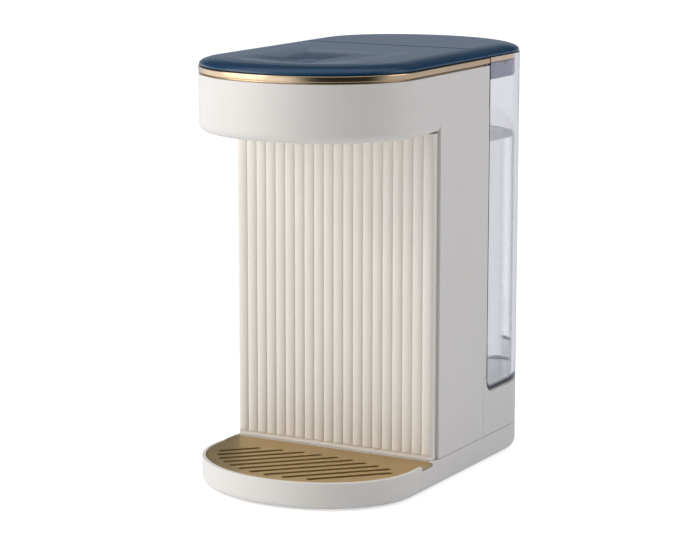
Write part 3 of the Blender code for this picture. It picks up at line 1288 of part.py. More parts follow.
def build():
    """Make every piece, and hang those that lift out on frames that stand on their slides."""
    for old in list(bpy.data.objects):
        bpy.data.objects.remove(old)
    makers = (make_base, make_base_deck, make_bottom_cover, make_feet, make_base_screws, make_main_shell,
              make_rear_shell, make_fluted_panel, make_chassis, make_rear_wall, make_trim_band,
              make_top_panel, make_touch_ring, make_control_board, make_nozzle_plate, make_nozzle,
              make_dock_socket, make_dock_seal, make_pump_head, make_pump_motor, make_pump_mount,
              make_heater_tube, make_heater_caps, make_heater_bracket, make_cutouts, make_sensor,
              make_power_board, make_board_parts, make_inlet_hose, make_heater_hose,
              make_outlet_hose, make_control_lead, make_cord_gland)
    for make in makers:
        make()
    mount_on("basin_slide", (0.0, FRONT_CENTRE_Y, WELL_Z), [make_basin()])
    mount_on("grille_slide", (0.0, FRONT_CENTRE_Y, GRILLE_Z), [make_grille()])
    mount_on("tank_slide", (0.0, VALVE_Y, TANK_Z),
             [make_tank(), make_valve_body(), make_valve_spring(), make_strainer()])
    mount_on("lid_slide", (0.0, VALVE_Y, CAP_Z), [make_tank_lid(), make_lid_trim(), make_lid_seal()])
    mount_on("valve_slide", (0.0, VALVE_Y, STEM_Z), [make_valve_plunger(), make_valve_seal()])


build()
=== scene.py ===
"""Looks of an instant water warmer: a cream body with a champagne gold band, a dark blue cap, a
clear tank behind and a slotted gold drip plate. Metres, +Z up, the front faces -Y."""

import json
import math

import bmesh
import bpy
import numpy as np
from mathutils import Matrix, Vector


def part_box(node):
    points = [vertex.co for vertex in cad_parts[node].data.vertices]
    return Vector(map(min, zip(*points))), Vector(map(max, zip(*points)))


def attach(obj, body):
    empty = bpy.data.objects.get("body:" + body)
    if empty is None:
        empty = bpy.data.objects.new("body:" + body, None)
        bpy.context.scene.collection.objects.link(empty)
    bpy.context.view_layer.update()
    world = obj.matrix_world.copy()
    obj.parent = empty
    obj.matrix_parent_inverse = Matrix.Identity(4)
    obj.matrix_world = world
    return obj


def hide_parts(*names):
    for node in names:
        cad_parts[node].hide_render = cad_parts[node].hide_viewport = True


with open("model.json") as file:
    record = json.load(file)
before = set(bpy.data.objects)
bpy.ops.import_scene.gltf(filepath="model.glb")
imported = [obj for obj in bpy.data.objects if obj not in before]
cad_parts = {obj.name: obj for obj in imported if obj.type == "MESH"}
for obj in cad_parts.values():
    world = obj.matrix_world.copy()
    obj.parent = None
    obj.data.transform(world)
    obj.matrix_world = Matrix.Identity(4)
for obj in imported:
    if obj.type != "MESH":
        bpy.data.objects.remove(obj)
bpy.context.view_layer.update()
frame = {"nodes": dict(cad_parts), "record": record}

# Plan of the body: two straight sides joined by a half ellipse at each end
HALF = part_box("base_shell")[1][0]
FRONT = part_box("base_shell")[0][1]
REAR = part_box("base_shell")[1][1]
FRONT_BOW = 0.055
REAR_BOW = 0.053
WALL = 0.0024
CORNER = 0.0004

# Steps of the curves
ARC = 96
CORNER_STEPS = 4
EDGE_STEPS = 8
FINE_STEPS = 4
HEAD_STEPS = 12
CROWN_STEPS = 28
TANK_STEPS = 14
TURN_STEPS = 96
ROD_STEPS = 48
DISH_LOOPS = 70
RIB_STEPS = 24
SLOT_END_STEPS = 12

# A mesh merges points nearer than MERGE and keeps an edge sharp above SHARP degrees
MERGE = 0.000002
SLIVER = 0.000001
SHARP = 32
RIB_SHARP = 50
FACE_WEIGHT = 80


def low(node, axis=2):
    """The lowest coordinate of a CAD node."""
    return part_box(node)[0][axis]


def high(node, axis=2):
    """The highest coordinate of a CAD node."""
    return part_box(node)[1][axis]


# Shape helpers

def outline(inset, front=None, rear=None):
    """The body's outline moved in by inset: x = (half - inset) cos t, y = bow centre +
    (bow - inset) sin t on each half ellipse, or a square end with rounded corners where front or
    rear is given."""
    half = HALF - inset
    if front is None:
        t = np.linspace(math.pi, 2 * math.pi, ARC + 1)
        near = np.c_[half * np.cos(t), FRONT + FRONT_BOW + (FRONT_BOW - inset) * np.sin(t)]
    else:
        near = square_end(half - CORNER, front + CORNER, CORNER, -1)
    if rear is None:
        t = np.linspace(0, math.pi, ARC + 1)
        far = np.c_[half * np.cos(t), REAR - REAR_BOW + (REAR_BOW - inset) * np.sin(t)]
    else:
        far = square_end(half - CORNER, rear - CORNER, CORNER, 1)
    return np.vstack([near, far])


def square_end(x, y, edge, way):
    """Two corners of radius edge about (-x, y) and (x, y), from left to right in front and from
    right to left behind."""
    t = np.linspace(0, math.pi / 2, CORNER_STEPS + 1)
    first = np.c_[x + edge * np.cos(t), y + edge * np.sin(t)]
    second = np.c_[-x - edge * np.sin(t), y + edge * np.cos(t)]
    both = np.vstack([first, second])
    return both if way > 0 else np.c_[-both[:, 0], 2 * y - both[:, 1]]


def skin(name, points, wrap_rows=False):
    """A mesh on a grid of points: quads between neighbours, each row closed into a loop, and the
    first and last rows filled where they aren't joined to each other."""
    rows, columns = points.shape[:2]
    index = np.arange(rows * columns).reshape(rows, columns)
    if wrap_rows:
        index = np.vstack([index, index[:1]])
    index = np.hstack([index, index[:, :1]])
    quads = np.stack([index[:-1, :-1], index[:-1, 1:], index[1:, 1:], index[1:, :-1]], -1)
    faces = quads.reshape(-1, 4).tolist()
    if not wrap_rows:
        faces += [index[0, :columns][::-1].tolist(), index[-1, :columns].tolist()]
    mesh = bpy.data.meshes.new(name)
    mesh.from_pydata(points.reshape(-1, 3).tolist(), [], faces)
    piece = bpy.data.objects.new(name, mesh)
    bpy.context.scene.collection.objects.link(piece)
    return tidy(piece)


def tidy(piece, angle=SHARP):
    """Merges doubles, drops slivers, points the faces outwards and smooths all but sharp edges."""
    shape = bmesh.new()
    shape.from_mesh(piece.data)
    bmesh.ops.remove_doubles(shape, verts=shape.verts, dist=MERGE)
    bmesh.ops.dissolve_degenerate(shape, edges=shape.edges, dist=SLIVER)
    bmesh.ops.recalc_face_normals(shape, faces=shape.faces)
    shape.to_mesh(piece.data)
    shape.free()
    piece.data.shade_smooth()
    piece.data.set_sharp_from_angle(angle=math.radians(angle))
    return piece


def layered(name, layers, front=None, rear=None):
    """A solid on the body's plan: one outline for each (inset, height, step back of the ends)."""
    loops = []
    for inset, z, *step in layers:
        back = step[0] if step else 0
        loop = outline(inset, None if front is None else front + back,
                       None if rear is None else rear - back)
        loops.append(np.c_[loop, np.full(len(loop), z)])
    return skin(name, np.array(loops))


def hoop(name, profile, front=None, rear=None):
    """A closed profile of (inset, height) carried round the plan. Its square ends keep the same
    wall as its sides."""
    first = profile[0][0]
    loops = []
    for inset, z in profile:
        loop = outline(inset, None if front is None else front + inset - first,
                       None if rear is None else rear - inset + first)
        loops.append(np.c_[loop, np.full(len(loop), z)])
    return skin(name, np.array(loops), wrap_rows=True)


def rounded(radius, inset, z, way, steps=EDGE_STEPS):
    """Layers of a quarter-round edge, from below upwards: inset + r (1 - sin t), z + way r (1 - cos t)."""
    t = np.linspace(0, math.pi / 2, steps + 1)
    layers = np.c_[inset + radius * (1 - np.sin(t)), z + way * radius * (1 - np.cos(t))].tolist()
    return layers if way > 0 else layers[::-1]


def turned(name, profile, centre, wrap=False):
    """A profile of (radius, height) turned about an upright axis: x = r cos t, y = r sin t."""
    t = np.linspace(0, 2 * math.pi, TURN_STEPS, endpoint=False)
    r, z = np.array(profile).T
    points = np.stack([centre[0] + np.outer(r, np.cos(t)), centre[1] + np.outer(r, np.sin(t)),
                       np.repeat(z[:, None], TURN_STEPS, 1)], -1)
    return skin(name, points, wrap_rows=wrap)


def rod_y(name, radius, x, z, y0, y1):
    """A round cutter that runs along y."""
    t = np.linspace(0, 2 * math.pi, ROD_STEPS, endpoint=False)
    ring = np.c_[x + radius * np.cos(t), t * 0, z + radius * np.sin(t)]
    return skin(name, np.array([ring + (0, y, 0) for y in (y0, y1)]))


def block(name, corner, opposite):
    """A box between two corners, used only as a cutter."""
    x0, y0, z0 = corner
    x1, y1, z1 = opposite
    ring = np.array([(x0, y0), (x1, y0), (x1, y1), (x0, y1)])
    return skin(name, np.array([np.c_[ring, np.full(4, z)] for z in (z0, z1)]))


def combine(piece, tools, operation="DIFFERENCE"):
    """Cuts a piece with its tools, or fuses them, and removes the tools."""
    for tool in tools:
        step = piece.modifiers.new(tool.name, "BOOLEAN")
        step.operation = operation
        step.solver = "EXACT"
        step.object = tool
    bpy.context.view_layer.update()
    graph = bpy.context.evaluated_depsgraph_get()
    made = bpy.data.meshes.new_from_object(piece.evaluated_get(graph))
    piece.modifiers.clear()
    piece.data = made
    for tool in tools:
        bpy.data.objects.remove(tool)
    return tidy(piece)


def place(piece, body, finish, slot, *nodes):
    """Gives a piece its finish, rides it on a body and hides what it replaces. The slot argument is not
    used.
    """
    piece.data.materials.clear()
    piece.data.materials.append(finish)
    shade = piece.modifiers.new("flat_faces_first", "WEIGHTED_NORMAL")
    shade.keep_sharp = True
    shade.weight = FACE_WEIGHT
    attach(piece, body)
    if nodes:
        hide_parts(*nodes)
    return piece


# Finishes

# Inputs and the result of a Mix node: numbers first, then colours
NUMBER_A, NUMBER_B = 2, 3
COLOUR_A, COLOUR_B, COLOUR_OUT = 6, 7, 2
WHITE = (1, 1, 1, 1)


def colour(code):
    """A sRGB hex value as linear red, green, blue and alpha."""
    parts = [int(code[i:i + 2], 16) / 255 for i in (0, 2, 4)]
    return tuple(c / 12.92 if c < 0.04045 else ((c + 0.055) / 1.055) ** 2.4 for c in parts) + (1.0,)


def add(tree, kind, links=None, **settings):
    """Adds a node with its settings; links maps an input to a value or to another node's output."""
    node = tree.nodes.new(kind)
    for key, value in settings.items():
        setattr(node, key, value)
    for key, value in (links or {}).items():
        if isinstance(value, bpy.types.NodeSocket):
            tree.links.new(value, node.inputs[key])
        else:
            node.inputs[key].default_value = value
    return node


# Noise scales are per metre: drifts of some 45 mm in colour, and of some 40 mm in a clear wall
DRIFT_SCALE = 22.0
FLOW_SCALE = 26.0
GLOSS_SPREAD = 0.12
GRAIN_LOW, GRAIN_HIGH = 0.3, 0.7
GRAIN_ROUGHNESS = 0.6
GRAIN_STRENGTH, FLOW_STRENGTH = 0.5, 0.25
FLOW_DEPTH = 0.0004
PASSED_LIGHT = (0.96, 0.96, 0.97, 1)


def plastic(name, main, tint, roughness, grain, depth, ior=1.5, metallic=0.0, stretch=(1, 1, 1),
            **more):
    """A moulded or metal surface: its colour drifts between two tones over some centimetres, and a
    fine grain, grain millimetres across and depth millimetres deep, breaks up its shine."""
    material = bpy.data.materials.new(name)
    material.use_nodes = True
    tree = material.node_tree
    shader = tree.nodes["Principled BSDF"]
    where = add(tree, "ShaderNodeTexCoord").outputs["Object"]
    cloud = add(tree, "ShaderNodeTexNoise", {"Vector": where, "Scale": DRIFT_SCALE, "Detail": 2.0})
    mix = add(tree, "ShaderNodeMix", {"Factor": cloud.outputs["Fac"], COLOUR_A: colour(main),
                                      COLOUR_B: colour(tint)}, data_type="RGBA")
    tree.links.new(mix.outputs[COLOUR_OUT], shader.inputs["Base Color"])
    aim = add(tree, "ShaderNodeMapping", {"Vector": where, "Scale": stretch})
    fine = add(tree, "ShaderNodeTexNoise", {"Vector": aim.outputs["Vector"], "Scale": 1000 / grain,
                                            "Detail": 3.0, "Roughness": GRAIN_ROUGHNESS})
    gloss = add(tree, "ShaderNodeMapRange", {"Value": fine.outputs["Fac"], "From Min": GRAIN_LOW,
                                             "From Max": GRAIN_HIGH,
                                             "To Min": roughness * (1 - GLOSS_SPREAD),
                                             "To Max": min(1.0, roughness * (1 + GLOSS_SPREAD))})
    tree.links.new(gloss.outputs["Result"], shader.inputs["Roughness"])
    bump = add(tree, "ShaderNodeBump", {"Height": fine.outputs["Fac"], "Strength": GRAIN_STRENGTH,
                                        "Distance": depth / 1000})
    tree.links.new(bump.outputs["Normal"], shader.inputs["Normal"])
    shader.inputs["Metallic"].default_value = metallic
    if metallic < 1:
        shader.inputs["IOR"].default_value = ior
    for key, value in more.items():
        shader.inputs[key.replace("_", " ")].default_value = value
    return material


def clear(name, tint, ior, roughness):
    """A transparent body that bends light. Shadow and diffuse rays pass it straight, so what is
    behind it stays lit."""
    material = bpy.data.materials.new(name)
    material.use_nodes = True
    tree = material.node_tree
    shader = tree.nodes["Principled BSDF"]
    where = add(tree, "ShaderNodeTexCoord").outputs["Object"]
    flow = add(tree, "ShaderNodeTexNoise", {"Vector": where, "Scale": FLOW_SCALE, "Detail": 1.0})
    bump = add(tree, "ShaderNodeBump", {"Height": flow.outputs["Fac"], "Strength": FLOW_STRENGTH,
                                        "Distance": FLOW_DEPTH})
    tree.links.new(bump.outputs["Normal"], shader.inputs["Normal"])
    shader.inputs["Base Color"].default_value = colour(tint)
    shader.inputs["Roughness"].default_value = roughness
    shader.inputs["IOR"].default_value = ior
    shader.inputs["Transmission Weight"].default_value = 1.0
    ray = add(tree, "ShaderNodeLightPath")
    soft = add(tree, "ShaderNodeMath", {0: ray.outputs["Is Shadow Ray"],
                                        1: ray.outputs["Is Diffuse Ray"]}, operation="MAXIMUM")
    gone = add(tree, "ShaderNodeBsdfTransparent", {"Color": PASSED_LIGHT})
    either = add(tree, "ShaderNodeMixShader", {0: soft.outputs[0], 1: shader.outputs[0],
                                               2: gone.outputs[0]})
    tree.links.new(either.outputs[0], tree.nodes["Material Output"].inputs["Surface"])
    return material


# Each finish is a Principled shader. The opaque ones have a noise for their colour and one for
# their grain, the clear ones a slow noise that makes their faces faintly wavy.
# Satin cream ABS, moulded, with a fine spark-eroded grain
cream_abs = plastic("cream_moulded_abs", "ECE9E5", "E8E4DF", 0.42, 0.9, 0.03, 1.53)
# The same ABS, a shade warmer, on the fluted panel
fluted_abs = plastic("fluted_warm_abs", "F3EEE7", "F0EAE1", 0.46, 0.9, 0.03, 1.53)
# Polished champagne anodised aluminium, drawn round the band
gold_band = plastic("champagne_anodised_band", "E3C49D", "DCBB92", 0.20, 1.6, 0.01, metallic=1.0,
                    stretch=(1, 1, 12))
# Satin gold anodised aluminium plate with a brushed lay
gold_plate = plastic("satin_gold_anodised_plate", "C9AE7B", "C0A370", 0.44, 1.2, 0.02, metallic=0.9,
                     stretch=(0.12, 1, 1))
# Dark blue ABS with a satin lacquer
navy_abs = plastic("navy_satin_lacquer", "134061", "113B5B", 0.24, 0.8, 0.008, 1.47)
# Clear moulded copolyester of the tank, its wall faintly wavy
tank_clear = clear("clear_copolyester", "FAFAFD", 1.49, 0.02)
# Water, greyed a little by what it mirrors
water_clear = clear("water", "ECEDEC", 1.333, 0.0)
# Grey-blue silicone seal
seal_silicone = plastic("grey_silicone_seal", "8F90A2", "87889B", 0.5, 0.7, 0.02, 1.41)
# Milky silicone of the spout, with a little light under its skin
milky_silicone = plastic("milky_silicone", "E9E7E2", "E2DFD9", 0.45, 0.7, 0.02, 1.41,
                         Subsurface_Weight=0.15, Subsurface_Scale=0.004)
# White and black ABS of the inner pieces, moulded
white_abs = plastic("white_moulded_abs", "E9E9E7", "E4E4E2", 0.48, 0.9, 0.03, 1.53)
black_abs = plastic("black_moulded_abs", "26262A", "212125", 0.5, 0.9, 0.04, 1.53)
# Moulded rubber, matt
foot_rubber = plastic("black_moulded_rubber", "1C1C1D", "181819", 0.8, 1.4, 0.06, 1.52)
# Drawn stainless steel, its lay running upright
plain_steel = plastic("drawn_stainless_steel", "B9BABC", "ADAEB1", 0.3, 0.8, 0.01, metallic=1.0,
                      stretch=(1, 1, 0.1))
# Green solder resist of the boards
board_resist = plastic("green_solder_resist", "1E6B45", "195C3B", 0.35, 1.5, 0.02, 1.5)
# Pale blue moulded ring of the touch mark
mark_grey = plastic("pale_touch_mark", "6E88A5", "65809E", 0.4, 0.8, 0.01, 1.5)

SLOT_FINISH = {"cream_shell": cream_abs, "fluted_cream": fluted_abs, "gold_trim": gold_band,
               "gold_grille": gold_plate, "navy_cap": navy_abs, "touch_mark": mark_grey,
               "clear_tank": tank_clear, "seal_grey": seal_silicone, "white_plastic": white_abs,
               "nozzle_silicone": milky_silicone, "dark_plastic": black_abs,
               "black_rubber": foot_rubber, "steel": plain_steel, "board_green": board_resist}
for part in frame["record"]["subparts"]:
    node = frame["nodes"][part["node"]]
    node.data.materials.clear()
    node.data.materials.append(SLOT_FINISH[part["material_slot"]])

# Sizes that the pieces share. OVER is how far a cutter runs past what it cuts.
OVER = 0.001
GAP = 0.0003
STEP_GAP = 0.0005
SEAM_ROUND = 0.0013
TANK_WALL = 0.0024
TANK_CORNER = 0.0075
TANK_EDGE = 0.0012
TANK_INNER_CORNER = 0.0051
WATER = 0.1915
HEAD_RISE = 0.1875
COLUMN_SETBACK = 0.085
SEAM_LEAD = 0.0036

# Heights and places read from the frame, or set from what it gives
RIM = high("base_shell")
HEAD = RIM + HEAD_RISE
SHELL_TOP = high("main_shell")
SHELL_FOOT = low("main_shell")
SHELL_REAR = high("main_shell", 1)
COLUMN = FRONT + COLUMN_SETBACK
PANEL_CREST = low("fluted_panel", 1)
PANEL_BACK = high("fluted_panel", 1)
CAP = high("trim_band") + GAP
CAP_TOP = high("top_panel")
TANK_FRONT = low("tank", 1)
SEAM = TANK_FRONT - SEAM_LEAD
TOUCH = (low("touch_ring", 1) + high("touch_ring", 1)) / 2
NOZZLE = (low("dispense_nozzle", 1) + high("dispense_nozzle", 1)) / 2
VALVE = (low("valve_body", 1) + high("valve_body", 1)) / 2


# Body pieces

BASE_ROUND = 0.004
RIM_ROUND = 0.0007
WELL_WALL = 0.0022
WELL_FLOOR = 0.0025
THROUGH_WALL = 0.0064
NOTCH_WIDTH = 0.0032
NOTCH_DEPTH = 0.0024
NOTCH_FRONT = 0.0141
NOTCH_REAR = 0.0015


def make_base():
    """The base: a ring with a 4 mm rounded foot, a well in front and a notch for each lift tab."""
    foot = low("base_shell")
    base = layered("base", rounded(BASE_ROUND, 0, foot, 1) + rounded(RIM_ROUND, 0, RIM, -1, FINE_STEPS))
    well = layered("well", [(WELL_WALL, foot + WELL_FLOOR), (WELL_WALL, RIM + OVER)], rear=PANEL_CREST)
    through = layered("through", [(THROUGH_WALL, -OVER), (THROUGH_WALL, RIM + OVER)],
                      front=PANEL_CREST + WALL)
    tools = [well, through]
    for side in (-1, 1):
        x = sorted((side * (HALF - NOTCH_WIDTH), side * (HALF + OVER)))
        tools.append(block("notch", (x[0], PANEL_CREST - NOTCH_FRONT, RIM - NOTCH_DEPTH),
                           (x[1], PANEL_CREST - NOTCH_REAR, RIM + OVER)))
    return place(combine(base, tools), "body", cream_abs, "cream_shell", "base_shell")


HEAD_ROUND = 0.005
TOP_ROUND = 0.0005
HOLLOW_ROUND = 0.0026
LIP = 0.004
PLATE_PORT = 0.0223


def make_main_shell():
    """The head and the column's side walls in one moulding, with a 5 mm round under the head, a
    fine round at the top, a lip that closes the corner over the fluted panel, and a round opening
    for the nozzle plate."""
    inner_top = HEAD + HEAD_ROUND + WALL
    layers = rounded(HEAD_ROUND, 0, HEAD, 1, HEAD_STEPS) + rounded(TOP_ROUND, 0, SHELL_TOP, -1, FINE_STEPS)
    shell = layered("head", layers, rear=SHELL_REAR)
    column = block("column", (-HALF, COLUMN, SHELL_FOOT), (HALF, SHELL_REAR, inner_top))
    combine(shell, [column], "UNION")
    behind = SHELL_REAR + OVER
    hollow = layered("hollow", rounded(HOLLOW_ROUND, WALL, HEAD + WALL, 1) + [(WALL, SHELL_TOP + OVER)],
                     rear=behind)
    x = HALF - WALL
    passage = block("passage", (-x, COLUMN - OVER, SHELL_FOOT - OVER), (x, behind, HEAD - OVER / 4))
    above = block("above", (-x, COLUMN + LIP, HEAD - OVER / 2), (x, behind, inner_top))
    step = block("step", (-HALF - OVER, SEAM - STEP_GAP, SHELL_FOOT - OVER),
                 (HALF + OVER, behind, high("rear_shell") + STEP_GAP))
    port = turned("port", disc(PLATE_PORT, HEAD - OVER, HEAD + WALL + OVER), (0, NOZZLE))
    return place(combine(shell, [hollow, passage, above, step, port]), "body", cream_abs, "cream_shell",
                 "main_shell")


def disc(radius, z0, z1):
    """The profile of a round cutter."""
    return [(0, z0), (radius, z0), (radius, z1), (0, z1)]


def tank_layers(inset, z, corner, edge, top):
    """Layers whose lower front edge is a round of radius corner and the rest one of edge."""
    t = np.linspace(0, math.pi / 2, TANK_STEPS + 1)
    rise = corner * (1 - np.cos(t))
    layers = np.c_[inset + np.maximum(0, edge - rise), z + rise, corner * (1 - np.sin(t))]
    return layers.tolist() + [(inset, top)]


DOCK_OPENING = 0.0129
HOSE_PORT = 0.0065
HOSE_RISE = 0.0165
INLET = 0.0068
INLET_RISE = 0.0125


def make_rear_shell():
    """The shell under the tank: its top is the tank's seat, and its ears cover the tank's rounded
    lower front edge."""
    seat_z = low("tank") - GAP
    ear = high("rear_shell")
    shell = layered("rear_cover", [(0, SHELL_FOOT), (0, ear)], front=SEAM)
    seat = layered("seat", tank_layers(-OVER, seat_z, TANK_CORNER, 0, ear + OVER),
                   front=TANK_FRONT - STEP_GAP)
    under = layered("under", [(WALL, SHELL_FOOT - OVER), (WALL, seat_z - WALL)], front=SEAM + WALL)
    opening = turned("opening", disc(DOCK_OPENING, seat_z - WALL - OVER, seat_z + OVER), (0, VALVE))
    pump_x = (low("pump_head", 0) + high("pump_head", 0)) / 2
    port = rod_y("hose_port", HOSE_PORT, pump_x, RIM + HOSE_RISE, SEAM - OVER, SEAM + WALL + OVER)
    inlet = rod_y("inlet", INLET, 0, RIM + INLET_RISE, REAR - WALL - OVER, REAR + OVER)
    tools = [seat, under, opening, port, inlet]
    return place(combine(shell, tools), "body", cream_abs, "cream_shell", "rear_shell")


RIB_PITCH = 0.0064
RIBS = 20
RIB_HEIGHT = 0.00095
RIB_VALLEY = 0.0011
PANEL_INSET = 0.0017
PANEL_EDGE = 0.0009
PLINTH = 0.0022
PLINTH_LEVEL = 0.0004
RUN_OUT = 0.0016
RUN_OUT_STEPS = 10


def make_fluted_panel():
    """The fluted front: in plan each rib follows y = valley - height sqrt(sin(pi s)) over its
    pitch, and its height grows in a quarter sine above the plain plinth."""
    half = HALF - PANEL_INSET
    valley = PANEL_CREST + RIB_VALLEY
    count = np.arange(RIBS * RIB_STEPS + 1)
    s = count % RIB_STEPS / RIB_STEPS
    x = (count / RIB_STEPS - RIBS / 2) * RIB_PITCH
    rise = RIB_HEIGHT * np.sqrt(np.sin(math.pi * s))
    foot = SHELL_FOOT + PLINTH
    levels = [(0, SHELL_FOOT), (0, foot - PLINTH_LEVEL)]
    for t in [math.pi / 2 * i / RUN_OUT_STEPS for i in range(RUN_OUT_STEPS + 1)]:
        levels.append((math.sin(t), foot + RUN_OUT * (1 - math.cos(t))))
    levels.append((1, HEAD - GAP))
    loops = []
    for share, z in levels:
        front = np.c_[x, valley - share * rise]
        ends = [(half, valley + PANEL_EDGE), (half, PANEL_BACK), (-half, PANEL_BACK),
                (-half, valley + PANEL_EDGE)]
        loop = np.vstack([front, ends])
        loops.append(np.c_[loop, np.full(len(loop), z)])
    panel = tidy(skin("flutes", np.array(loops)), RIB_SHARP)
    return place(panel, "body", fluted_abs, "fluted_cream", "fluted_panel")


BAND_ROUND = 0.0006
BAND_ROUND_STEPS = 5
BAND_STANDOFF = 0.001
TONGUE_IN, TONGUE_OUT = 0.0039, 0.0027


def make_band():
    """The gold band round the head, with softly rounded edges and a tongue inside the shell."""
    z0, z1 = high("main_shell") + BAND_STANDOFF, high("trim_band")
    foot = low("trim_band")
    t = np.linspace(0, math.pi / 2, BAND_ROUND_STEPS + 1)
    profile = np.c_[BAND_ROUND * (1 - np.sin(t)), z0 + BAND_ROUND * (1 - np.cos(t))].tolist()
    profile += np.c_[BAND_ROUND * (1 - np.cos(t)), z1 - BAND_ROUND * (1 - np.sin(t))].tolist()
    profile += [(TONGUE_IN, z1), (TONGUE_IN, foot), (TONGUE_OUT, foot), (TONGUE_OUT, z0)]
    return place(hoop("band", profile, rear=SHELL_REAR - GAP), "body", gold_band, "gold_trim",
                 "trim_band")


CAP_INSET = 0.0005
CAP_FOOT_INSET = 0.0008
CAP_LIP = 0.0008
CROWN_WIDTH = 0.014


def crown():
    """Layers of a cap's edge: a short upright lip, then a quarter ellipse in to the flat top. Its
    square end is rounded by SEAM_ROUND."""
    t = np.linspace(0, math.pi / 2, CROWN_STEPS + 1)
    rise = CAP_LIP + (CAP_TOP - CAP - CAP_LIP) * np.sin(t)
    up = np.maximum(0, SEAM_ROUND - (CAP_TOP - CAP - rise))
    back = SEAM_ROUND - np.sqrt(SEAM_ROUND ** 2 - up ** 2)
    layers = np.c_[CAP_INSET + CROWN_WIDTH * (1 - np.cos(t)), CAP + rise, back].tolist()
    return [(CAP_FOOT_INSET, CAP), (CAP_INSET, CAP + GAP)] + layers


DISH_DEPTH = 0.0018
DISH_SIDE = 0.051
DISH_REAR, DISH_FRONT = 0.068, 0.029
DISH_FORWARD = 0.010
DISH_BORDER = 2.6
DISH_MIDDLE = 0.004
LOCATOR_OUT, LOCATOR_IN = 0.0042, 0.0062
LOCATOR_DEPTH = 0.006
LOCATOR_SINK = 0.0009
GROOVE_IN, GROOVE_OUT = 0.00355, 0.00495
GROOVE_DEPTH = 0.003
MARK_IN, MARK_OUT = 0.0037, 0.0048
MARK_DROP = 0.0015
MARK_DEPTH = 0.0012
MARK_EDGE = 0.0002
MARK_CREST = 0.0001


def make_top_panel():
    """The front cap with its broad dish, which sinks by depth (1 - s^2)^2 (1 - border s^2), s being
    the share of the dish's radius, and so has a faint raised border. The touch mark is a ring in a
    groove of its own."""
    rear = SEAM - GAP
    loops = []
    for inset, z, *step in crown():
        loop = outline(inset, rear=rear - (step[0] if step else 0))
        loops.append(np.c_[loop, np.full(len(loop), z)])
    rim = loops[-1]
    centre = np.array([0, TOUCH, CAP_TOP])
    for share in np.linspace(1, DISH_MIDDLE, DISH_LOOPS)[1:]:
        loop = centre + (rim - centre) * share
        along = loop[:, 1] - TOUCH + DISH_FORWARD
        length = np.where(along > 0, DISH_REAR, DISH_FRONT)
        s = np.minimum(1, np.hypot(loop[:, 0] / DISH_SIDE, along / length))
        loop[:, 2] = CAP_TOP - DISH_DEPTH * (1 - s ** 2) ** 2 * (1 - DISH_BORDER * s ** 2)
        loops.append(loop)
    panel = skin("front_cap", np.array(loops))
    foot, top = CAP - LOCATOR_DEPTH, CAP + LOCATOR_SINK
    wall = hoop("locating_wall", [(LOCATOR_OUT, foot), (LOCATOR_OUT, top), (LOCATOR_IN, top),
                                  (LOCATOR_IN, foot)], rear=SHELL_REAR - LOCATOR_OUT)
    combine(panel, [wall], "UNION")
    foot, top = CAP_TOP - GROOVE_DEPTH, CAP_TOP + OVER
    groove = turned("groove", [(GROOVE_IN, foot), (GROOVE_OUT, foot), (GROOVE_OUT, top),
                               (GROOVE_IN, top)], (0, TOUCH), wrap=True)
    place(combine(panel, [groove]), "body", navy_abs, "navy_cap", "top_panel")
    z = CAP_TOP - MARK_DROP
    foot, low_edge, top = z - MARK_DEPTH, z - MARK_CREST, z + MARK_CREST
    ring = turned("touch_mark", [(MARK_IN, foot), (MARK_OUT, foot), (MARK_OUT, low_edge),
                                 (MARK_OUT - MARK_EDGE, top), (MARK_IN + MARK_EDGE, top),
                                 (MARK_IN, low_edge)], (0, TOUCH), wrap=True)
    place(ring, "body", mark_grey, "touch_mark", "touch_ring")


LID_BAND_OUT, LID_BAND_IN = 0.0028, 0.0050
PLUG_INSET = LID_BAND_IN + GAP
PLUG_WALL = 0.002
PLUG_LIFT = 0.0006
SKIRT_TAPER = [(0.0034, 0), (0.0029, 0.0006), (0.0028, 0.0015)]
AIR_NOTCH = 0.0022
AIR_NOTCH_REAR = 0.023


def make_lid():
    """The tank's lid: a crowned cap with a plug wall, its gold band and its grey skirt, which has an
    air notch at each side."""
    lid = layered("lid", crown(), front=SEAM + GAP)
    foot, top = low("lid_seal") + PLUG_LIFT, CAP + LOCATOR_SINK
    plug = hoop("plug", [(PLUG_INSET, foot), (PLUG_INSET, top), (PLUG_INSET + PLUG_WALL, top),
                         (PLUG_INSET + PLUG_WALL, foot)], front=TANK_FRONT + PLUG_INSET)
    place(combine(lid, [plug], "UNION"), "lid", navy_abs, "navy_cap", "tank_lid")
    z0, z1 = low("lid_trim"), high("lid_trim")
    edge = LID_BAND_OUT + GAP
    trim = hoop("lid_band", [(edge, z0), (LID_BAND_OUT, z0 + GAP), (LID_BAND_OUT, z1 - GAP), (edge, z1),
                             (LID_BAND_IN, z1), (LID_BAND_IN, z0)], front=TANK_FRONT + edge)
    place(trim, "lid", gold_band, "gold_trim", "lid_trim")
    top = z0 - GAP
    foot = low("lid_seal")
    profile = [(inset, foot + rise) for inset, rise in SKIRT_TAPER]
    profile += [(LID_BAND_OUT, top - GAP), (edge, top), (LID_BAND_IN, top), (LID_BAND_IN, foot)]
    skirt = hoop("skirt", profile, front=TANK_FRONT + SKIRT_TAPER[0][0])
    y = TANK_FRONT + AIR_NOTCH_REAR
    notch = np.array([(y - AIR_NOTCH, top + OVER), (y + AIR_NOTCH, top + OVER), (y, top - AIR_NOTCH)])
    wedge = skin("air_notch", np.array([np.c_[np.full(3, x), notch] for x in (-HALF, HALF)]))
    place(combine(skirt, [wedge]), "lid", seal_silicone, "seal_grey", "lid_seal")


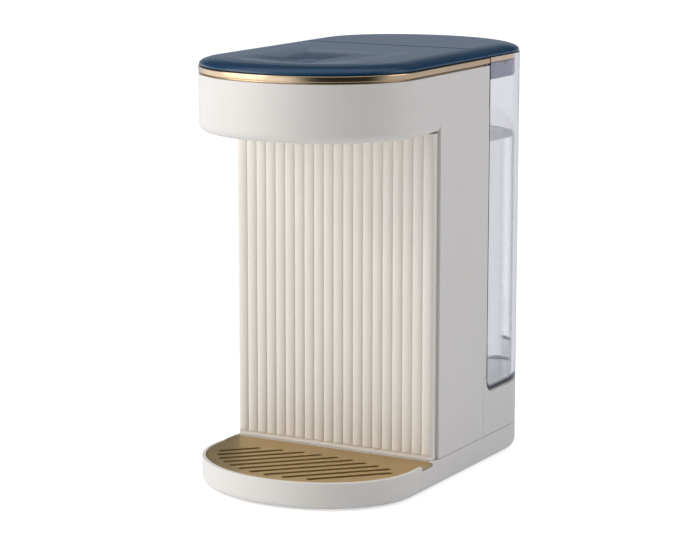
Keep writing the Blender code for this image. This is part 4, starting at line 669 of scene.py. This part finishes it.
TANK_FLOOR = 0.0026
TANK_RIM = 0.0004
RIM_BEVEL = 0.0001
WATER_GAP = 0.0001
VALVE_PORT = 0.009
PORT_RISE = 0.0036
BELL = 0.0124
BELL_GAP = 0.0004


def make_tank():
    """The clear tank and the water in it. The water follows the inside of the wall a tenth of a
    millimetre clear of it, and stops short of the valve."""
    z, top = low("tank"), high("tank")
    outer = tank_layers(0, z, TANK_CORNER, TANK_EDGE, top - TANK_RIM)
    tank = layered("tank_body", outer + [(RIM_BEVEL, top - RIM_BEVEL), (TANK_RIM, top)],
                   front=TANK_FRONT)
    inside = tank_layers(TANK_WALL, z + TANK_FLOOR, TANK_INNER_CORNER, TANK_EDGE, top + OVER)
    hollow = layered("hollow", inside, front=TANK_FRONT + TANK_WALL)
    port = turned("port", disc(VALVE_PORT, z - OVER, z + PORT_RISE), (0, VALVE))
    place(combine(tank, [hollow, port]), "tank", tank_clear, "clear_tank", "tank")
    inset = TANK_WALL + WATER_GAP
    fill = tank_layers(inset, z + TANK_FLOOR + WATER_GAP, TANK_INNER_CORNER, TANK_EDGE, WATER)
    water = layered("water_fill", fill, front=TANK_FRONT + inset)
    bell = turned("bell", disc(BELL, z, high("tank_strainer") + BELL_GAP), (0, VALVE))
    place(combine(water, [bell]), "tank", water_clear, "clear_tank")


PLATE_BORE = 0.0075
PLATE_RADIUS = 0.022
PLATE_LIP_RADIUS = 0.027
PLATE_THICKNESS = 0.0016
PLATE_ROUND = [(0.0214, 0), (0.0218, 0.0002)]
PLATE_EDGE = 0.0006
SPOUT_DROP = 0.0054
SPOUT_BORE = 0.0026
SPOUT_TIP = 0.0048
SPOUT_MOUTH = 0.0008
SPOUT_MOUTH_STEPS = 5
SPOUT_RADIUS = 0.0072
SPOUT_TAPER = [(SPOUT_TIP, 0.0022), (0.0055, 0.0030)]
SPOUT_SHOULDER = [(0.0070, 0.0012), (SPOUT_RADIUS, 0.0004)]
FLANGE_RADIUS = 0.0097
FLANGE_THICKNESS = 0.0016
SPOUT_RISE = 0.008


def make_nozzle():
    """The silicone spout: a tapered tip with a rounded mouth, and the round plate that holds it."""
    lip = HEAD + WALL + GAP
    plate = [(PLATE_BORE, HEAD)] + [(r, HEAD + rise) for r, rise in PLATE_ROUND]
    plate += [(PLATE_RADIUS, HEAD + PLATE_EDGE), (PLATE_RADIUS, lip), (PLATE_LIP_RADIUS, lip),
              (PLATE_LIP_RADIUS, lip + PLATE_THICKNESS), (PLATE_BORE, lip + PLATE_THICKNESS)]
    place(turned("spout_plate", plate, (0, NOZZLE), wrap=True), "body", white_abs, "white_plastic",
          "nozzle_plate")
    flange = lip + PLATE_THICKNESS + GAP
    tip = HEAD - SPOUT_DROP
    t = np.linspace(0, math.pi / 2, SPOUT_MOUTH_STEPS + 1)
    spout = [(SPOUT_BORE, flange + SPOUT_RISE), (SPOUT_BORE, tip + SPOUT_MOUTH)]
    spout += np.c_[SPOUT_BORE + SPOUT_MOUTH * (1 - np.cos(t)),
                   tip + SPOUT_MOUTH * (1 - np.sin(t))].tolist()
    spout += np.c_[SPOUT_TIP - SPOUT_MOUTH * (1 - np.sin(t)),
                   tip + SPOUT_MOUTH * (1 - np.cos(t))].tolist()
    spout += [(r, tip + rise) for r, rise in SPOUT_TAPER]
    spout += [(r, HEAD - drop) for r, drop in SPOUT_SHOULDER]
    spout += [(SPOUT_RADIUS, flange), (FLANGE_RADIUS, flange), (FLANGE_RADIUS, flange + FLANGE_THICKNESS),
              (SPOUT_TIP, flange + FLANGE_THICKNESS), (SPOUT_TIP, flange + SPOUT_RISE)]
    place(turned("spout", spout, (0, NOZZLE), wrap=True), "body", milky_silicone, "nozzle_silicone",
          "dispense_nozzle")


SLOT_FIELD = 0.0085
SLOT_FIELD_REAR = 0.0158
SLOT_FIELD_BOW = 0.011
SLOT_PITCH = 0.0082
SLOT_SHIFT = 0.0044
SLOT_LINES = 18
SLOT_LEAST = 0.010
SLOT_HALF_WIDTH = 0.0018
SLOT_SAMPLES = 921
DIAGONAL = math.sqrt(0.5)


def slots():
    """The slanted slots: for lines 45 degrees across, spaced by the pitch, the middle and the
    length of what lies inside the slotted field."""
    half, bow = HALF - SLOT_FIELD, FRONT_BOW - SLOT_FIELD
    centre_y = FRONT + FRONT_BOW
    rear = PANEL_CREST - centre_y - SLOT_FIELD_REAR
    along = np.linspace(FRONT, -FRONT, SLOT_SAMPLES)
    for i in range(-SLOT_LINES, SLOT_LINES + 1):
        offset = SLOT_SHIFT + i * SLOT_PITCH
        x = (offset + along) * DIAGONAL
        y = (along - offset) * DIAGONAL
        inside = ((x / half) ** 2 + (np.minimum(y, 0) / bow) ** 2 <= 1) & (
            y <= rear - SLOT_FIELD_BOW * (x / half) ** 2)
        if inside.any():
            start, end = along[inside][[0, -1]]
            if end - start >= SLOT_LEAST:
                middle = (start + end) / 2
                yield (offset + middle) * DIAGONAL, centre_y + (middle - offset) * DIAGONAL, end - start


PLATE_INSET = 0.0027
DRIP_EDGE = 0.0002
DRIP_ROUND = 0.0005
DRIP_ROUND_STEPS = 5
TAB_IN, TAB_OUT = 0.0042, 0.0003
TAB_FRONT, TAB_REAR = 0.0138, 0.0018
TAB_THICKNESS = 0.0018


def make_grille():
    """The gold drip plate: slanted round-ended slots in a plate with a softly rounded border, and
    two lift tabs that lie in the rim's notches."""
    z0, z1 = low("drip_grille"), high("drip_grille")
    layers = [(PLATE_INSET + DRIP_EDGE, z0), (PLATE_INSET, z0 + DRIP_EDGE)]
    layers += rounded(DRIP_ROUND, PLATE_INSET, z1, -1, DRIP_ROUND_STEPS)
    plate = layered("drip_plate", layers, rear=PANEL_CREST - STEP_GAP)
    tabs = []
    for side in (-1, 1):
        x = sorted((side * (HALF - TAB_IN), side * (HALF - TAB_OUT)))
        tabs.append(block("tab", (x[0], PANEL_CREST - TAB_FRONT, z1 - TAB_THICKNESS),
                          (x[1], PANEL_CREST - TAB_REAR, z1)))
    combine(plate, tabs, "UNION")
    t = np.linspace(-math.pi / 2, math.pi / 2, SLOT_END_STEPS + 1)
    tools = []
    for x, y, length in slots():
        reach = length / 2 - SLOT_HALF_WIDTH
        end = np.c_[reach + SLOT_HALF_WIDTH * np.cos(t), SLOT_HALF_WIDTH * np.sin(t)]
        shape = np.vstack([end, -end])
        spun = np.c_[x + (shape[:, 0] - shape[:, 1]) * DIAGONAL,
                     y + (shape[:, 0] + shape[:, 1]) * DIAGONAL]
        ring = np.full(len(spun), 1.0)
        tools.append(skin("slot", np.array([np.c_[spun, ring * z] for z in (z0 - OVER, z1 + OVER)])))
    place(combine(plate, tools), "grille", gold_plate, "gold_grille", "drip_grille")


make_base()
make_main_shell()
make_rear_shell()
make_fluted_panel()
make_band()
make_top_panel()
make_lid()
make_tank()
make_nozzle()
make_grille()

# Camera, fitted to points of the photograph: its focal length and the picture's width in pixels
FOCAL = 2439.8
PICTURE_WIDTH = 700
SENSOR = 36.0
CAMERA_SPOT = (0.67616, -1.23446, 0.37552)
LOOK_DOWN = 0.1867
LOOK_LEFT = 0.5123
LENS_SHIFT = 0.02

camera = bpy.data.objects.new("camera", bpy.data.cameras.new("camera"))
bpy.context.scene.collection.objects.link(camera)
camera.location = CAMERA_SPOT
camera.rotation_euler = (math.pi / 2 - LOOK_DOWN, 0.0, LOOK_LEFT)
camera.data.sensor_width = SENSOR
camera.data.lens = FOCAL / PICTURE_WIDTH * SENSOR
camera.data.shift_x = LENS_SHIFT
bpy.context.scene.camera = camera
bpy.context.scene.view_settings.view_transform = "Standard"

# Lamps: where each stands, its width and height, its watts and its colour
LIT_SPOT = (0, 0, 0.12)
LEFT_LAMP = ((-1.25, -1.15, 0.75), (1.4, 1.4), 17.0, "FFFDFA")
RIGHT_LAMP = ((1.6, 0.7, 0.9), (1.0, 1.0), 7.5, "F9FAFF")


def lamp(name, spot, size, power, tint):
    """A soft square lamp that faces the object. The tank doesn't show it as a white block."""
    light = bpy.data.lights.new(name, "AREA")
    light.shape = "RECTANGLE"
    light.size, light.size_y = size
    light.energy = power
    light.color = colour(tint)[:3]
    thing = bpy.data.objects.new(name, light)
    bpy.context.scene.collection.objects.link(thing)
    thing.visible_transmission = False
    thing.location = spot
    way = np.array(LIT_SPOT) - np.array(spot)
    turn = math.atan2(way[1], way[0])
    thing.rotation_euler = (math.acos(-way[2] / np.linalg.norm(way)), 0, turn - math.pi / 2)


lamp("left_softbox", *LEFT_LAMP)
lamp("right_softbox", *RIGHT_LAMP)

# The studio that the object mirrors and is lit by, as (sine of the angle above the horizon, grey)
# stops: a lit cove along the horizon and a dim ceiling with a bright middle. It is darker on the
# right in front and brighter on the left. Rays through the tank meet partly the plain white that
# the camera meets, and what the surfaces mirror is tinted a little cool.
BELOW = (0.62, 0.62, 0.62, 1)
ABOVE = (0.85, 0.85, 0.85, 1)
ROOM_STOPS = ((0.10, 0.46), (0.185, 0.41), (0.238, 0.075), (0.58, 0.075), (0.85, 0.85))
WHITE_THROUGH_TANK = 0.36
DARK_SIDE, DARK_FROM, DARK_TO, DARK_LEVEL = (0.695, -0.719, 0), 0.55, 0.9, 0.05
BRIGHT_SIDE, BRIGHT_FROM, BRIGHT_TO, BRIGHT_GAIN = (-0.80, -0.60, 0), 0.1, 0.8, 2.0
COOL = (0.88, 0.97, 1.12, 1)

world = bpy.data.worlds.new("studio")
bpy.context.scene.world = world
world.use_nodes = True
tree = world.node_tree
tree.nodes.clear()
ray = add(tree, "ShaderNodeLightPath")
through = add(tree, "ShaderNodeMath", {0: ray.outputs["Is Transmission Ray"], 1: WHITE_THROUGH_TANK},
              operation="MULTIPLY")
seen = add(tree, "ShaderNodeMath", {0: ray.outputs["Is Camera Ray"], 1: through.outputs[0]},
           operation="MAXIMUM")
way = add(tree, "ShaderNodeTexCoord").outputs["Generated"]
aim = add(tree, "ShaderNodeSeparateXYZ", {"Vector": way})
height = add(tree, "ShaderNodeValToRGB", {"Fac": aim.outputs["Z"]})
ramp = height.color_ramp
ramp.interpolation = "EASE"
for share, grey in ROOM_STOPS:
    stop = ramp.elements.new(share)
    stop.color = (grey, grey, grey, 1)
ramp.elements[0].color = BELOW
ramp.elements[-1].color = ABOVE
dark = add(tree, "ShaderNodeVectorMath", {0: way, 1: DARK_SIDE}, operation="DOT_PRODUCT")
flag = add(tree, "ShaderNodeMapRange", {"Value": dark.outputs["Value"], "From Min": DARK_FROM,
                                        "From Max": DARK_TO, "To Min": 1.0, "To Max": DARK_LEVEL},
           interpolation_type="SMOOTHSTEP")
room = add(tree, "ShaderNodeMath", {0: height.outputs["Color"], 1: flag.outputs["Result"]},
           operation="MULTIPLY")
left = add(tree, "ShaderNodeVectorMath", {0: way, 1: BRIGHT_SIDE}, operation="DOT_PRODUCT")
cove = add(tree, "ShaderNodeMapRange", {"Value": left.outputs["Value"], "From Min": BRIGHT_FROM,
                                        "From Max": BRIGHT_TO, "To Min": 1.0, "To Max": BRIGHT_GAIN},
           interpolation_type="SMOOTHSTEP")
lit = add(tree, "ShaderNodeMath", {0: room.outputs[0], 1: cove.outputs["Result"]},
          operation="MULTIPLY")
level = add(tree, "ShaderNodeMix", {"Factor": seen.outputs[0], NUMBER_A: lit.outputs[0],
                                    NUMBER_B: 1.0})
shine = add(tree, "ShaderNodeMath", {0: ray.outputs["Is Glossy Ray"],
                                     1: ray.outputs["Is Transmission Ray"]},
            operation="SUBTRACT", use_clamp=True)
cool = add(tree, "ShaderNodeMix", {"Factor": shine.outputs[0], COLOUR_A: WHITE, COLOUR_B: COOL},
           data_type="RGBA")
air = add(tree, "ShaderNodeBackground", {"Color": cool.outputs[COLOUR_OUT],
                                         "Strength": level.outputs[0]})
add(tree, "ShaderNodeOutputWorld", {"Surface": air.outputs[0]})

# A wide matt paper floor, which mirrored rays and rays through the tank don't meet
PAPER_REACH = 20
PAPER_ROUGHNESS = 0.9
PAPER_GLOW = 0.6

corners = [(-1, -1, 0), (1, -1, 0), (1, 1, 0), (-1, 1, 0)]
floor_mesh = bpy.data.meshes.new("floor")
floor_mesh.from_pydata([(x * PAPER_REACH, y * PAPER_REACH, z) for x, y, z in corners], [],
                       [(0, 1, 2, 3)])
floor = bpy.data.objects.new("floor", floor_mesh)
bpy.context.scene.collection.objects.link(floor)
sweep = bpy.data.materials.new("pale_paper_sweep")
sweep.use_nodes = True
tree = sweep.node_tree
paper = tree.nodes["Principled BSDF"]
paper.inputs["Base Color"].default_value = colour("FAFAFA")
paper.inputs["Roughness"].default_value = PAPER_ROUGHNESS
glow = add(tree, "ShaderNodeLightPath")
strength = add(tree, "ShaderNodeMath", {0: glow.outputs["Is Camera Ray"], 1: PAPER_GLOW},
               operation="MULTIPLY")
paper.inputs["Emission Color"].default_value = WHITE
tree.links.new(strength.outputs[0], paper.inputs["Emission Strength"])
gone = add(tree, "ShaderNodeBsdfTransparent")
mirrored = add(tree, "ShaderNodeMath", {0: glow.outputs["Is Glossy Ray"],
                                        1: glow.outputs["Is Transmission Ray"]}, operation="MAXIMUM")
either = add(tree, "ShaderNodeMixShader", {0: mirrored.outputs[0], 1: paper.outputs[0],
                                           2: gone.outputs[0]})
tree.links.new(either.outputs[0], tree.nodes["Material Output"].inputs["Surface"])
floor_mesh.materials.append(sweep)

bpy.context.view_layer.update()
